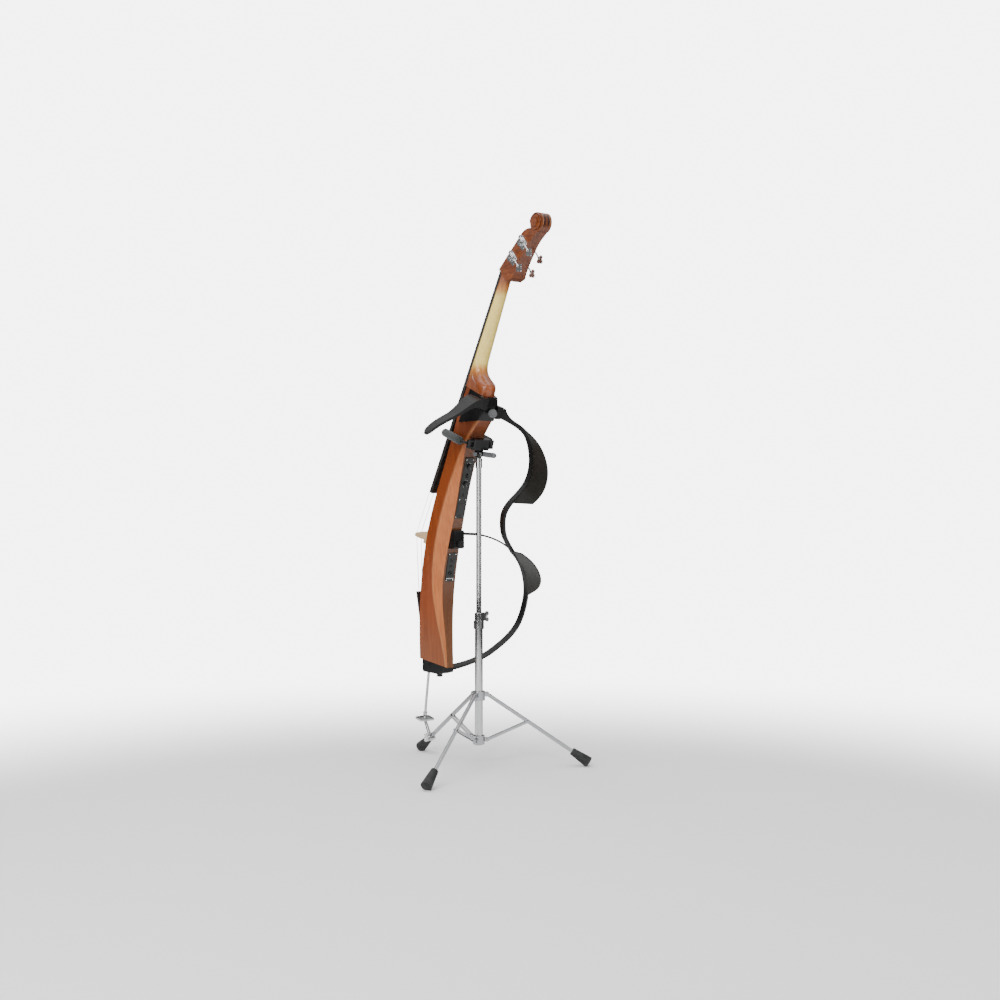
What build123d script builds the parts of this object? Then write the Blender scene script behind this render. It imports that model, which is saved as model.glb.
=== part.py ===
from build123d import *
import math
import os

os.makedirs("parts", exist_ok=True)

# Frame: millimetres, +Z up, floor at Z = 0, the stand's tube on the Z axis, strings facing -Y.

# ---- stand ---------------------------------------------------------------------------------------
LOWER_TUBE_R, LOWER_TUBE_BORE = 14.3, 12.5
LOWER_TUBE_Z = (88.0, 500.0)
UPPER_TUBE_R, UPPER_TUBE_BORE = 9.5, 7.8
UPPER_TUBE_Z = (205.0, 1075.0)
CLAMP_Z = (492.0, 520.0, 548.0)
RUN = 0.05  # radial running clearance of every bore that something turns or slides in
PIVOT_R, HUB_Z, LOWER_HUB_Z = 30.0, 261.0, 101.0
LEG_DROP, LEG_LENGTH, LEG_W, LEG_H = 34.4, 437.0, 10.0, 13.0
FOOT_START, FOOT_R = 366.0, (13.0, 20.0)
BRACE_AT, BRACE_H, BRACE_T = 174.5, 9.0, 1.6
BRACE_GAP = 5.6  # half the gap between the two strips of a brace
LEG_ANGLES = {"front": -90.0, "right": 30.0, "left": 150.0}

# ---- fingerboard, neck, pegbox -------------------------------------------------------------------
NUT = (0.0, 164.0, 1733.0)
NECK_LEAN = 29.226
BOARD_LENGTH, BOARD_W, BOARD_T, BOARD_ARCH = 866.0, (21.0, 44.5), 14.0, 5.0
PEGBOX_RISE = 40.0  # the pegbox axis above the horizontal
PEGBOX_ORIGIN = (0.0, 165.0, 1733.0)
PEGBOX_W = (29.0, 20.5)  # half-widths at the nut and 190 mm further
SCROLL_AT, SCROLL_R, SCROLL_EAR_R, SCROLL_HALF_W = (235.0, 33.0), 33.0, 21.0, 31.0
FLUTE_X, FLUTE_R = 7.5, 4.6
ROLLER_P, ROLLER_R, COIL_R, GEAR_R, WORM_AT = 22.0, 6.0, 7.2, 11.0, 15.5
# roller name: position along the pegbox axis, side of its gear, half-width of its seat
ROLLERS = {
    "e": (50.5, -1, 26.0),
    "g": (68.5, 1, 25.2),
    "a": (112.5, -1, 23.3),
    "d": (136.5, 1, 22.2),
}

# ---- strings -------------------------------------------------------------------------------------
STRING_R = {"e": 1.3, "a": 1.05, "d": 0.85, "g": 0.7}
NUT_X = {"e": -15.0, "a": -5.0, "d": 5.0, "g": 15.0}
COIL_X = {"e": -9.0, "a": -4.0, "d": 4.0, "g": 9.0}
BRIDGE_POINT = {
    "e": (-38.0, -360.0, 823.5),
    "a": (-13.0, -368.5, 821.0),
    "d": (13.0, -368.5, 821.0),
    "g": (38.0, -360.0, 823.5),
}
TAIL_X = {"e": -24.0, "a": -8.0, "d": 8.0, "g": 24.0}
TAIL_TOP, TAIL_LOW = (-367.0, 604.0), (-345.0, 400.0)

# ---- body: height, front half-width, front Y, crease half-width and Y, back half-width and Y
BODY = [
    (320, 57.3, -301.2, 15.5, -189.0, 13.4, -186.2),
    (382, 61.9, -298.1, 19.0, -197.1, 13.8, -188.6),
    (444, 65.2, -294.9, 26.0, -209.1, 15.8, -193.9),
    (506, 67.4, -291.1, 33.5, -221.4, 19.8, -199.3),
    (568, 68.4, -286.1, 40.2, -230.7, 23.9, -201.6),
    (630, 68.5, -279.4, 45.5, -233.6, 26.3, -197.8),
    (692, 67.7, -270.7, 49.1, -228.3, 26.5, -186.6),
    (754, 66.1, -259.3, 50.9, -215.8, 25.2, -170.0),
    (816, 63.8, -244.7, 51.1, -197.7, 23.3, -150.0),
    (878, 61.0, -226.4, 49.7, -175.4, 22.0, -129.0),
    (940, 57.7, -204.1, 46.8, -150.1, 22.0, -108.8),
    (1002, 54.0, -178.5, 42.8, -122.0, 23.5, -89.2),
    (1064, 50.1, -151.4, 38.3, -90.1, 25.8, -67.5),
    (1136, 45.4, -120.8, 32.9, -46.0, 28.2, -36.0),
    (1172, 43.0, -106.7, 31.0, -15.8, 28.4, -9.3),
    (1204, 40.9, -95.1, 29.0, 18.8, 27.0, 23.1),
    (1236, 38.8, -83.4, 27.4, 51.8, 25.0, 55.6),
    (1272, 36.6, -67.5, 25.9, 67.0, 23.2, 73.0),
    (1320, 34.0, -42.0, 25.2, 66.0, 21.2, 72.5),
    (1372, 33.0, -11.3, 25.2, 66.0, 21.0, 72.5),
]
BODY_ARCH = 6.0
BODY_BOTTOM = (-190.0, 335.0, -0.25)  # Y, Z and slope of the bottom plane
BODY_TOP = (77.0, 1303.0, -0.42)  # Y, Z and slope of the joint with the neck

# ---- neck: height, half-width, front Y, where the round starts, back Y ---------------------------
NECK = [
    (1738, 21, 182.5, 186, 199),
    (1700, 22, 161.5, 166, 177),
    (1640, 23.3, 128, 133, 144),
    (1557, 25.7, 81.5, 87, 99),
    (1480, 28, 38.4, 44, 57),
    (1430, 29.4, 10.5, 17, 36),
    (1395, 30.5, -9, 3, 35),
    (1370, 31.2, -23, 8, 52),
    (1350, 32, -34, 24, 73),
    (1335, 32.4, -42.6, 38, 80),
    (1295, 33.5, -65, 40, 79),
]

# ---- side frame, in the plane that leans back FRAME_LEAN degrees ---------------------------------
FRAME_LEAN = 17.0
FRAME_ORIGIN = (0.0, -205.0, 340.0)
BAND_FRONT, BAND_REAR = 15.0, -10.0
UPPER_BAND = [
    (-45, 952), (-80, 929), (-131, 905), (-170, 878), (-198, 834),
    (-212, 796), (-219, 744), (-209, 696), (-185, 659), (-150, 618),
    (-135, 585), (-137, 542), (-152, 499), (-180, 461), (-208, 428),
]
UPPER_HALF = [20, 9, 7, 5.5, 4.5, 4.2, 4, 4, 4, 4.5, 5, 5, 5, 5, 4.5]
LOWER_BAND = [
    (-208, 428), (-248, 388), (-278, 338), (-296, 287), (-300.5, 262), (-300, 206),
    (-286, 144), (-250, 93), (-212, 61), (-161, 28), (-125, 14), (-64, -2), (-23, -9),
]
LOWER_HALF = [4.5, 4, 4, 4, 4, 4, 4, 4, 4, 4, 4, 5, 6]
RIGHT_ARM = [(45, 985), (70, 980), (98, 966), (143, 937), (180, 917), (213, 897), (249, 868)]
RIGHT_HALF = [15, 11, 7, 5, 5, 5, 5]
UPPER_SHIELD = [(-120, 911), (-158, 888), (-191, 848), (-210, 802), (-219, 744), (-209, 696),
                (-182, 655), (-148, 615)]
LOWER_SHIELD = [(-196, 441), (-228, 409), (-263, 366), (-286, 315), (-299, 268)]
# depth behind the frame plane, against the height in it
UPPER_SHIELD_EDGE = [(918, 9.9), (905, 14), (874, 36), (833, 60), (787, 76), (739, 84),
                     (697, 87), (668, 86), (642, 81)]
LOWER_SHIELD_EDGE = [(452, 9.9), (446, 60), (425, 84), (391, 90), (352, 86), (313, 66),
                     (280, 30), (262, 9.9)]
UPPER_SHIELD_FOOT, LOWER_SHIELD_FOOT = 622.0, 262.0
ROOT_PINS = {"left": (942.0, 964.0), "right": (976.0, 994.0)}
STAY = [(-25, -138, 824), (-74, -128, 821.5), (-106, -119, 815), (-143, -103, 801),
        (-173, -92, 784), (-199, -83.5, 762)]
STAY_R = (5.0, 3.5)

# ---- end pin, tail and bottom bracket ------------------------------------------------------------
PIN_TIP, PIN_LEAN, PIN_R, PIN_LENGTH = (0.0, -363.0, 126.0), 9.03, 5.0, 230.0

# ---- yoke ----------------------------------------------------------------------------------------
TILT_Z = 1108.0
YOKE_CENTRE, YOKE_TILT = (0.0, 8.0, 1143.0), 19.0
ARM_PIVOT_X, ARM_X, SLEEVE_R = 46.0, 63.0, 15.0
LEVER_R = 9.5

# ---- controls: heights on the back of the body ---------------------------------------------------
PANEL_T = 3.0
KNOB_Z = {"volume": 1067.0, "tone": 1005.0}
SWITCH_Z, PHONES_Z = 1033.0, 962.0
DOOR_Z = (884.0, 936.0)
OUTPUT_Z, AUX_Z, POWER_Z, LED_Z = 679.0, 704.0, 725.0, 741.0


def polar(radius, angle, height=0.0):
    """Point at a radius and an angle round the stand's tube."""
    return (radius * math.cos(math.radians(angle)), radius * math.sin(math.radians(angle)), height)


def radial_plane(angle):
    """Plane through the tube's axis, with sketch x outwards and sketch y up."""
    e = polar(1.0, angle)
    return Plane(origin=(0, 0, 0), x_dir=e, z_dir=(e[1], -e[0], 0))


def rod(start, end, radius, mode=Mode.ADD):
    """Round rod between two points, in the part being built."""
    axis = Vector(*end) - Vector(*start)
    with BuildSketch(Plane(origin=start, z_dir=axis)) as section:
        Circle(radius)
    extrude(section.sketch, amount=axis.length, mode=mode)


def ball(centre, radius, mode=Mode.ADD):
    with Locations(centre):
        Sphere(radius, mode=mode)


def back_at(z):
    """Y of the middle of the body's back at a height."""
    rows = [(row[0], row[6]) for row in BODY]
    for (z0, y0), (z1, y1) in zip(rows, rows[1:]):
        if z0 <= z <= z1:
            return y0 + (y1 - y0) * (z - z0) / (z1 - z0)
    return rows[-1][1]


def back_plane(z):
    """Plane on the body's back, x to the right seen from the front, z out of the body."""
    slope = (back_at(z + 12) - back_at(z - 12)) / 24.0
    return Plane(origin=(0, back_at(z), z), x_dir=(1, 0, 0), z_dir=(0, 1, -slope))


def ribbon(points, halves, shift=0.0):
    """Closed band of varying width along a line of points, in the sketch being built.
    Shift moves it to the line's right-hand side, seen along the line."""
    left, right = [], []
    for i, (x, y) in enumerate(points):
        x0, y0 = points[max(i - 1, 0)]
        x1, y1 = points[min(i + 1, len(points) - 1)]
        length = math.hypot(x1 - x0, y1 - y0)
        nx, ny = (y1 - y0) / length, -(x1 - x0) / length
        left.append((x - nx * (halves[i] - shift), y - ny * (halves[i] - shift)))
        right.append((x + nx * (halves[i] + shift), y + ny * (halves[i] + shift)))
    with BuildLine() as outline:
        Spline(*left)
        Line(left[-1], right[-1])
        Spline(*reversed(right))
        Line(right[0], left[0])
    make_face(outline.edges())


def board_point(s, u, x=0.0):
    """Point at a distance s down the fingerboard from the nut and a depth u behind its face."""
    a = math.radians(NECK_LEAN)
    return (x, NUT[1] - s * math.sin(a) + u * math.cos(a),
            NUT[2] - s * math.cos(a) - u * math.sin(a))


def peg_point(q, p, x=0.0):
    """Point at a distance q along the pegbox and a depth p behind its front."""
    a = math.radians(PEGBOX_RISE)
    return (x, PEGBOX_ORIGIN[1] + q * math.cos(a) + p * math.sin(a),
            PEGBOX_ORIGIN[2] + q * math.sin(a) - p * math.cos(a))


def frame_point(x, v, n=0.0):
    """Point in the leaning frame plane, n in front of it."""
    a = math.radians(FRAME_LEAN)
    return (x, FRAME_ORIGIN[1] + v * math.sin(a) - n * math.cos(a),
            FRAME_ORIGIN[2] + v * math.cos(a) + n * math.sin(a))


def thumb_screw(tip, direction, shaft, knob_r, knob_h):
    """Knurled thumb screw, its shaft's tip at tip, pointing out along direction."""
    plane = Plane(origin=tip, z_dir=direction)
    with BuildSketch(plane) as stem:
        Circle(3.0)
    extrude(stem.sketch, amount=shaft)
    with BuildSketch(plane.offset(shaft)) as grip:
        Circle(knob_r)
        with PolarLocations(knob_r + 0.6, 12):
            Circle(1.6, mode=Mode.SUBTRACT)
    extrude(grip.sketch, amount=knob_h)
    with BuildSketch(plane.offset(shaft + knob_h)) as cap:
        Circle(knob_r * 0.6)
    extrude(cap.sketch, amount=1.2)


def wing_bolt(tip, direction, wings, shaft, span):
    """Wing bolt, its shaft's tip at tip; wings is the direction that the wings spread in."""
    plane = Plane(origin=tip, x_dir=wings, z_dir=direction)
    with BuildSketch(plane) as stem:
        Circle(3.0)
    extrude(stem.sketch, amount=shaft)
    with BuildSketch(plane.offset(shaft)) as boss:
        Circle(6.0)
    extrude(boss.sketch, amount=9.0)
    side = Plane(origin=plane.origin, x_dir=plane.x_dir, z_dir=-plane.y_dir)
    with BuildSketch(side) as ears:
        for sign in (-1, 1):
            with Locations((sign * span * 0.30, shaft + 9.0)):
                Ellipse(span * 0.22, 7.5, rotation=-sign * 24)
    extrude(ears.sketch, amount=2.2, both=True)


BOARD = Plane(origin=NUT, x_dir=(1, 0, 0),
              z_dir=(0, math.sin(math.radians(NECK_LEAN)), math.cos(math.radians(NECK_LEAN))))
PEG_SIDE = Plane(origin=PEGBOX_ORIGIN, z_dir=(-1, 0, 0),
                 x_dir=(0, math.cos(math.radians(PEGBOX_RISE)), math.sin(math.radians(PEGBOX_RISE))))
PEG_FRONT = Plane(origin=PEGBOX_ORIGIN, x_dir=(1, 0, 0),
                  z_dir=(0, -math.sin(math.radians(PEGBOX_RISE)), math.cos(math.radians(PEGBOX_RISE))))
FRAME = Plane(origin=FRAME_ORIGIN, x_dir=(1, 0, 0),
              z_dir=(0, -math.cos(math.radians(FRAME_LEAN)), math.sin(math.radians(FRAME_LEAN))))
FRAME_SIDE = Plane(origin=FRAME_ORIGIN, z_dir=(1, 0, 0),
                   x_dir=(0, math.sin(math.radians(FRAME_LEAN)), math.cos(math.radians(FRAME_LEAN))))
SIDE = Plane.YZ

# ==================================================================================================
# Body blank: the whole hull between its bottom plane and the joint with the neck. The body,
# its front plate and everything that is fitted against the hull are cut with it.
# ==================================================================================================
with BuildPart() as hull:
    for z, wf, yf, wc, yc, wb, yb in BODY:
        with BuildSketch(Plane.XY.offset(z)):
            with BuildLine():
                ThreePointArc((wf, yf), (0, yf - BODY_ARCH), (-wf, yf))
                Polyline((-wf, yf), (-wc, yc), (-wb, yb), (wb, yb), (wc, yc), (wf, yf))
            make_face()
    loft()
    with BuildSketch(SIDE):
        y0, z0, m0 = BODY_BOTTOM
        y1, z1, m1 = BODY_TOP
        with BuildLine():
            Polyline(
                (-420, z0 + m0 * (-420 - y0)), (140, z0 + m0 * (140 - y0)),
                (140, z1 + m1 * (140 - y1)), (-420, z1 + m1 * (-420 - y1)),
                close=True,
            )
        make_face()
    extrude(amount=120, both=True, mode=Mode.INTERSECT)

with BuildPart() as board_space:
    with BuildSketch(BOARD):
        with Locations((0, -20)):
            Rectangle(140, 2 * (BOARD_T + 20))
    extrude(amount=-BOARD_LENGTH)

DOOR_MID = (DOOR_Z[0] + DOOR_Z[1]) / 2
DOOR_PLANE = back_plane(DOOR_MID)
DOOR_LENGTH = (DOOR_Z[1] - DOOR_Z[0]) / abs(DOOR_PLANE.y_dir.Z)

with BuildPart() as body_hull:
    add(hull.part)
    # battery pocket and electronics chamber under the upper panel
    with BuildSketch(DOOR_PLANE):
        Rectangle(29, 50)
    extrude(amount=-22, mode=Mode.SUBTRACT)
    with BuildSketch(back_plane(1010)):
        Rectangle(24, 70)
    extrude(amount=-18, mode=Mode.SUBTRACT)
    for z in KNOB_Z.values():
        with BuildSketch(back_plane(z)):
            Circle(4.2)
        extrude(amount=-16, mode=Mode.SUBTRACT)
    for z, r, depth in ((PHONES_Z, 4.0, 14), (OUTPUT_Z, 8.0, 40), (AUX_Z, 4.0, 14), (POWER_Z, 5.0, 12)):
        with BuildSketch(back_plane(z)):
            Circle(r)
        extrude(amount=-depth, mode=Mode.SUBTRACT)
body_hull.part.label = "body"
export_step(body_hull.part, "parts/body.step")

# ---- strings -------------------------------------------------------------------------------------
TAIL_DIR = Vector(0, TAIL_LOW[0] - TAIL_TOP[0], TAIL_LOW[1] - TAIL_TOP[1]).normalized()
with BuildPart() as strings:
    for key, r in STRING_R.items():
        q = ROLLERS[key][0]
        over_nut = board_point(4, -8.2, NUT_X[key])
        on_coil = peg_point(q, ROLLER_P - COIL_R - r - 0.4, COIL_X[key])
        on_bridge = BRIDGE_POINT[key]
        at_tail = (TAIL_X[key], *TAIL_TOP)
        rod(on_coil, over_nut, r)
        ball(over_nut, r)
        rod(over_nut, on_bridge, r)
        ball(on_bridge, r + 0.03)
        rod(on_bridge, at_tail, r)
        ball(on_coil, r)
    with BuildSketch(SIDE):
        with BuildLine():
            low = Vector(0, *TAIL_TOP)
            across = Vector(0, -TAIL_DIR.Z, TAIL_DIR.Y)
            a, b = low - across * 60, low + across * 60
            c, d = b + TAIL_DIR * 30, a + TAIL_DIR * 30
            Polyline((a.Y, a.Z), (b.Y, b.Z), (c.Y, c.Z), (d.Y, d.Z), close=True)
        make_face()
    extrude(amount=60, both=True, mode=Mode.SUBTRACT)
strings.part.label = "strings"
export_step(strings.part, "parts/strings.step")

# ---- neck ----------------------------------------------------------------------------------------
with BuildPart() as neck:
    for z, w, yf, ys, yb in reversed(NECK):
        with BuildSketch(Plane.XY.offset(z)):
            with BuildLine():
                Polyline((-w, ys), (-w, yf), (w, yf), (w, ys))
                ThreePointArc((w, ys), (0, yb), (-w, ys))
            make_face()
    loft()
    with BuildSketch(SIDE):
        with BuildLine():
            Polyline(
                (-200, z1 + m1 * (-200 - y1)), (200, z1 + m1 * (200 - y1)),
                (400, 1500), peg_point(0, 80)[1:], peg_point(0, -80)[1:], (-200, 1800),
                close=True,
            )
        make_face()
    extrude(amount=120, both=True, mode=Mode.INTERSECT)
    add(board_space.part, mode=Mode.SUBTRACT)
neck.part.label = "neck"
export_step(neck.part, "parts/neck.step")

# ---- fingerboard and nut -------------------------------------------------------------------------
with BuildPart() as fingerboard:
    for s, w in ((8.0, BOARD_W[0] + 0.2), (BOARD_LENGTH, BOARD_W[1])):
        with BuildSketch(BOARD.offset(-s)):
            with BuildLine():
                ThreePointArc((w, 0), (0, -BOARD_ARCH), (-w, 0))
                Polyline((-w, 0), (-w, BOARD_T), (w, BOARD_T), (w, 0))
            make_face()
    loft()
    fillet(fingerboard.edges().filter_by(lambda e: abs(e.length - 866) < 12).sort_by(Axis.Y)[-2:], 2)
fingerboard.part.label = "fingerboard"
export_step(fingerboard.part, "parts/fingerboard.step")

with BuildPart() as nut:
    with BuildSketch(BOARD.offset(-8)):
        with Locations((0, 3)):
            RectangleRounded(2 * BOARD_W[0], 22, 2)
    extrude(amount=8)
    add(strings.part, mode=Mode.SUBTRACT)
nut.part.label = "nut"
export_step(nut.part, "parts/nut.step")

# ---- pegbox and scroll ---------------------------------------------------------------------------
with BuildPart() as pegbox:
    with BuildSketch(PEG_SIDE):
        with BuildLine():
            Polyline((0, 0), (157, 0))
            Spline((157, 0), (182, 6), (200, 20), (214, 33), tangents=((1, 0), (0.9, 0.5)))
            Polyline((214, 33), (220, 62))
            Spline((220, 62), (195, 58), (167, 55), (116, 59), (62, 68), (32, 79))
            Polyline((32, 79), (6, 66), (0, 54), (0, 0))
        make_face()
    extrude(amount=60, both=True)
    with BuildSketch(PEG_FRONT):
        with BuildLine():
            Polyline(
                (-PEGBOX_W[0], -2), (PEGBOX_W[0], -2), (PEGBOX_W[1], 190), (PEGBOX_W[1], 240),
                (-PEGBOX_W[1], 240), (-PEGBOX_W[1], 190),
                close=True,
            )
        make_face()
    extrude(amount=120, both=True, mode=Mode.INTERSECT)
    with BuildSketch(PEG_SIDE):
        with Locations(SCROLL_AT):
            Circle(SCROLL_R)
    extrude(amount=PEGBOX_W[1], both=True)
    for side in (-1, 1):
        ear = PEG_SIDE.offset(side * PEGBOX_W[1])
        with BuildSketch(ear):
            with Locations(SCROLL_AT):
                Circle(SCROLL_EAR_R + 4)
        extrude(amount=side * 5)
        with BuildSketch(ear.offset(side * 5)):
            with Locations(SCROLL_AT):
                Circle(SCROLL_EAR_R - 5)
        extrude(amount=side * (SCROLL_HALF_W - PEGBOX_W[1] - 5))
    # two flutes over the scroll and down the back of the head
    for side in (-1, 1):
        centre = peg_point(SCROLL_AT[0], SCROLL_AT[1], side * FLUTE_X)
        with BuildSketch(Plane(origin=centre, x_dir=PEG_SIDE.x_dir, z_dir=PEG_SIDE.y_dir)):
            with Locations((SCROLL_R + 1.6, 0)):
                Circle(FLUTE_R)
        revolve(axis=Axis(centre, (1, 0, 0)), revolution_arc=200, mode=Mode.SUBTRACT)
    with BuildSketch(PEG_FRONT.offset(10)):
        with BuildLine():
            Polyline((-18.5, 9), (18.5, 9), (12, 168), (-12, 168), close=True)
        make_face()
    extrude(amount=-56, mode=Mode.SUBTRACT)
    for q, side, seat in ROLLERS.values():
        # seat of the machine plate, then the roller's two bores
        with BuildSketch(PEG_SIDE.offset(-side * seat)):
            with Locations((q + 7, 30)):
                RectangleRounded(34.4, 46.4, 4)
        extrude(amount=-side * 20, mode=Mode.SUBTRACT)
        with BuildSketch(PEG_SIDE):
            with Locations((q, ROLLER_P)):
                Circle(4.5)
        extrude(amount=-side * 60, mode=Mode.SUBTRACT)
        with BuildSketch(PEG_SIDE):
            with Locations((q, ROLLER_P)):
                Circle(3.0 + RUN)
        extrude(amount=side * 22.5, mode=Mode.SUBTRACT)
    add(board_space.part, mode=Mode.SUBTRACT)
    add(strings.part, mode=Mode.SUBTRACT)
pegbox.part.label = "pegbox"
export_step(pegbox.part, "parts/pegbox.step")

# ---- four tuning machines ------------------------------------------------------------------------
with BuildPart() as machine_plates:
    for q, side, seat in ROLLERS.values():
        plate_out = seat + 2.5
        worm_x = plate_out + 4.0
        worm_q = q + WORM_AT
        with BuildSketch(PEG_SIDE.offset(-side * seat)):
            with Locations((q + 7, 30)):
                RectangleRounded(34, 46, 4)
            with Locations((q, ROLLER_P)):
                Circle(4.0 + RUN, mode=Mode.SUBTRACT)
        extrude(amount=-side * 2.5)
        for p in (9.5, 41.0):
            with BuildSketch(PEG_SIDE.offset(-side * plate_out)):
                with Locations((worm_q, p)):
                    Rectangle(10, 5)
            extrude(amount=-side * 8)
        rod(peg_point(worm_q, 0, side * worm_x), peg_point(worm_q, 60, side * worm_x),
            2.5 + RUN, Mode.SUBTRACT)
        for dq, dp in ((-8, -15), (-8, 19)):
            with BuildSketch(PEG_SIDE.offset(-side * plate_out)):
                with Locations((q + 7 + dq, 30 + dp)):
                    Circle(2.2)
            extrude(amount=-side * 1.2)
machine_plates.part.label = "machine_plates"
export_step(machine_plates.part, "parts/machine_plates.step")

for key, (q, side, seat) in ROLLERS.items():
    plate_out = seat + 2.5
    worm_x = plate_out + 4.0
    worm_q = q + WORM_AT
    with BuildPart() as tuning_key:
        rod(peg_point(worm_q, 4, side * worm_x), peg_point(worm_q, 80, side * worm_x), 2.5)
        rod(peg_point(worm_q, 12.6, side * worm_x), peg_point(worm_q, 31.4, side * worm_x), 4.0)
        rod(peg_point(worm_q, 76, side * worm_x), peg_point(worm_q, 82, side * worm_x), 4.5)
        with BuildSketch(PEG_SIDE.offset(-side * worm_x)):
            with Locations((worm_q, 97.5)):
                Circle(7.6)
            with Locations((worm_q - 8.6, 86.5), (worm_q + 8.6, 86.5)):
                Circle(7.2)
        extrude(amount=2.2, both=True)
    tuning_key.part.label = f"tuning_key_{key}"
    export_step(tuning_key.part, f"parts/tuning_key_{key}.step")

    slot_half = 18.5 - 6.5 * (q - 9) / 159.0
    with BuildPart() as string_roller:
        centre = peg_point(q, ROLLER_P)[1:]

        def at(x):
            return (x * side, *centre)

        rod(at(slot_half - 0.6), at(plate_out + 2.0), 4.0)
        rod(at(0.6 - slot_half), at(slot_half - 0.6), ROLLER_R)
        rod(at(-slot_half - 3.0), at(0.6 - slot_half), 3.0)
        rod((COIL_X[key] - 3.2, *centre), (COIL_X[key] + 3.2, *centre), COIL_R)
        with BuildSketch(Plane(origin=at(plate_out + 2.0), z_dir=(side, 0, 0))):
            Circle(GEAR_R)
            with PolarLocations(GEAR_R + 0.5, 20):
                Circle(1.1, mode=Mode.SUBTRACT)
        extrude(amount=4.0)
        rod(at(plate_out + 6.0), at(plate_out + 7.2), 3.2)
    string_roller.part.label = f"string_roller_{key}"
    export_step(string_roller.part, f"parts/string_roller_{key}.step")

# ---- bridge, tailpiece and tail wire -------------------------------------------------------------
BRIDGE_TOP = (0.0, -373.0, 823.0)
BRIDGE = Plane(origin=BRIDGE_TOP, x_dir=(1, 0, 0), z_dir=(0, -0.287, -0.958))
with BuildPart() as bridge:
    with BuildSketch(BRIDGE):
        with BuildLine():
            ThreePointArc((-47, -17.0), (0, -3.0), (47, -17.0))
            Polyline((47, -17), (45, -48), (36, -62), (40, -84), (58, -98), (58, -126))
            Polyline((58, -126), (30, -126), (26, -106))
            ThreePointArc((26, -106), (0, -90), (-26, -106))
            Polyline((-26, -106), (-30, -126), (-58, -126))
            Polyline((-58, -126), (-58, -98), (-40, -84), (-36, -62), (-45, -48), (-47, -17))
        make_face()
        with Locations((0, -58)):
            Ellipse(9, 13, mode=Mode.SUBTRACT)
        with Locations((-27, -78), (27, -78)):
            Ellipse(5, 9, mode=Mode.SUBTRACT)
    extrude(amount=5.5, both=True)
    add(hull.part, mode=Mode.SUBTRACT)
    add(strings.part, mode=Mode.SUBTRACT)
bridge.part.label = "bridge"
export_step(bridge.part, "parts/bridge.step")

TAIL = Plane(origin=(0, *TAIL_TOP), x_dir=(1, 0, 0), z_dir=(0, TAIL_DIR.Z, -TAIL_DIR.Y))
TAIL_LEN = math.hypot(TAIL_LOW[0] - TAIL_TOP[0], TAIL_LOW[1] - TAIL_TOP[1])
with BuildPart() as tailpiece:
    with BuildSketch(TAIL):
        with BuildLine():
            Polyline((-33, 0), (33, 0), (31, -22), (17, -TAIL_LEN + 4), (14, -TAIL_LEN),
                     (-14, -TAIL_LEN), (-17, -TAIL_LEN + 4), (-31, -22), close=True)
        make_face()
    extrude(amount=5.5, both=True)
    for x in (-9.0, 9.0):
        rod((x, TAIL_LOW[0], TAIL_LOW[1] + 2), (x, -343.0, 352.3), 2.2)
tailpiece.part.label = "tailpiece"
export_step(tailpiece.part, "parts/tailpiece.step")

# ---- bottom bracket, end pin ---------------------------------------------------------------------
PIN_DIR = Vector(0, math.sin(math.radians(PIN_LEAN)), math.cos(math.radians(PIN_LEAN)))


def pin_point(d):
    p = Vector(*PIN_TIP) + PIN_DIR * d
    return (p.X, p.Y, p.Z)


with BuildPart() as bottom_bracket:
    with BuildSketch(SIDE):
        with BuildLine():
            Polyline(
                (-346.5, 314), (-346.5, 352), (-306, 352), (-306, 335 - 0.25 * (-306 + 190)),
                (-198, 335 - 0.25 * (-198 + 190)), (-198, 316), (-240, 306), (-339, 306),
                close=True,
            )
        make_face()
    extrude(amount=22, both=True)
    fillet(bottom_bracket.edges().filter_by(Axis.Z), 3)
    rod(pin_point(150), pin_point(240), PIN_R + RUN, Mode.SUBTRACT)
    rod((-30, -212, 326), (-8, -212, 326), 4.0 + RUN, Mode.SUBTRACT)
    rod((0, -258, 300), (0, -258, 326), 3.0 + RUN, Mode.SUBTRACT)
bottom_bracket.part.label = "bottom_bracket"
export_step(bottom_bracket.part, "parts/bottom_bracket.step")

with BuildPart() as end_pin:
    rod(pin_point(8), pin_point(PIN_LENGTH), PIN_R)
    chamfer(end_pin.edges().sort_by(Axis.Z)[-1], 1)
    with BuildSketch(Plane(origin=PIN_TIP, z_dir=PIN_DIR)):
        Circle(6.0)
    with BuildSketch(Plane(origin=pin_point(24), z_dir=PIN_DIR)):
        Circle(8.0)
    loft()
end_pin.part.label = "end_pin"
export_step(end_pin.part, "parts/end_pin.step")

with BuildPart() as bottom_screw:
    thumb_screw((0, -258, 325.5), (0, 0, -1), 20.0, 11.0, 11.0)
bottom_screw.part.label = "bottom_thumb_screw"
export_step(bottom_screw.part, "parts/bottom_thumb_screw.step")

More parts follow.
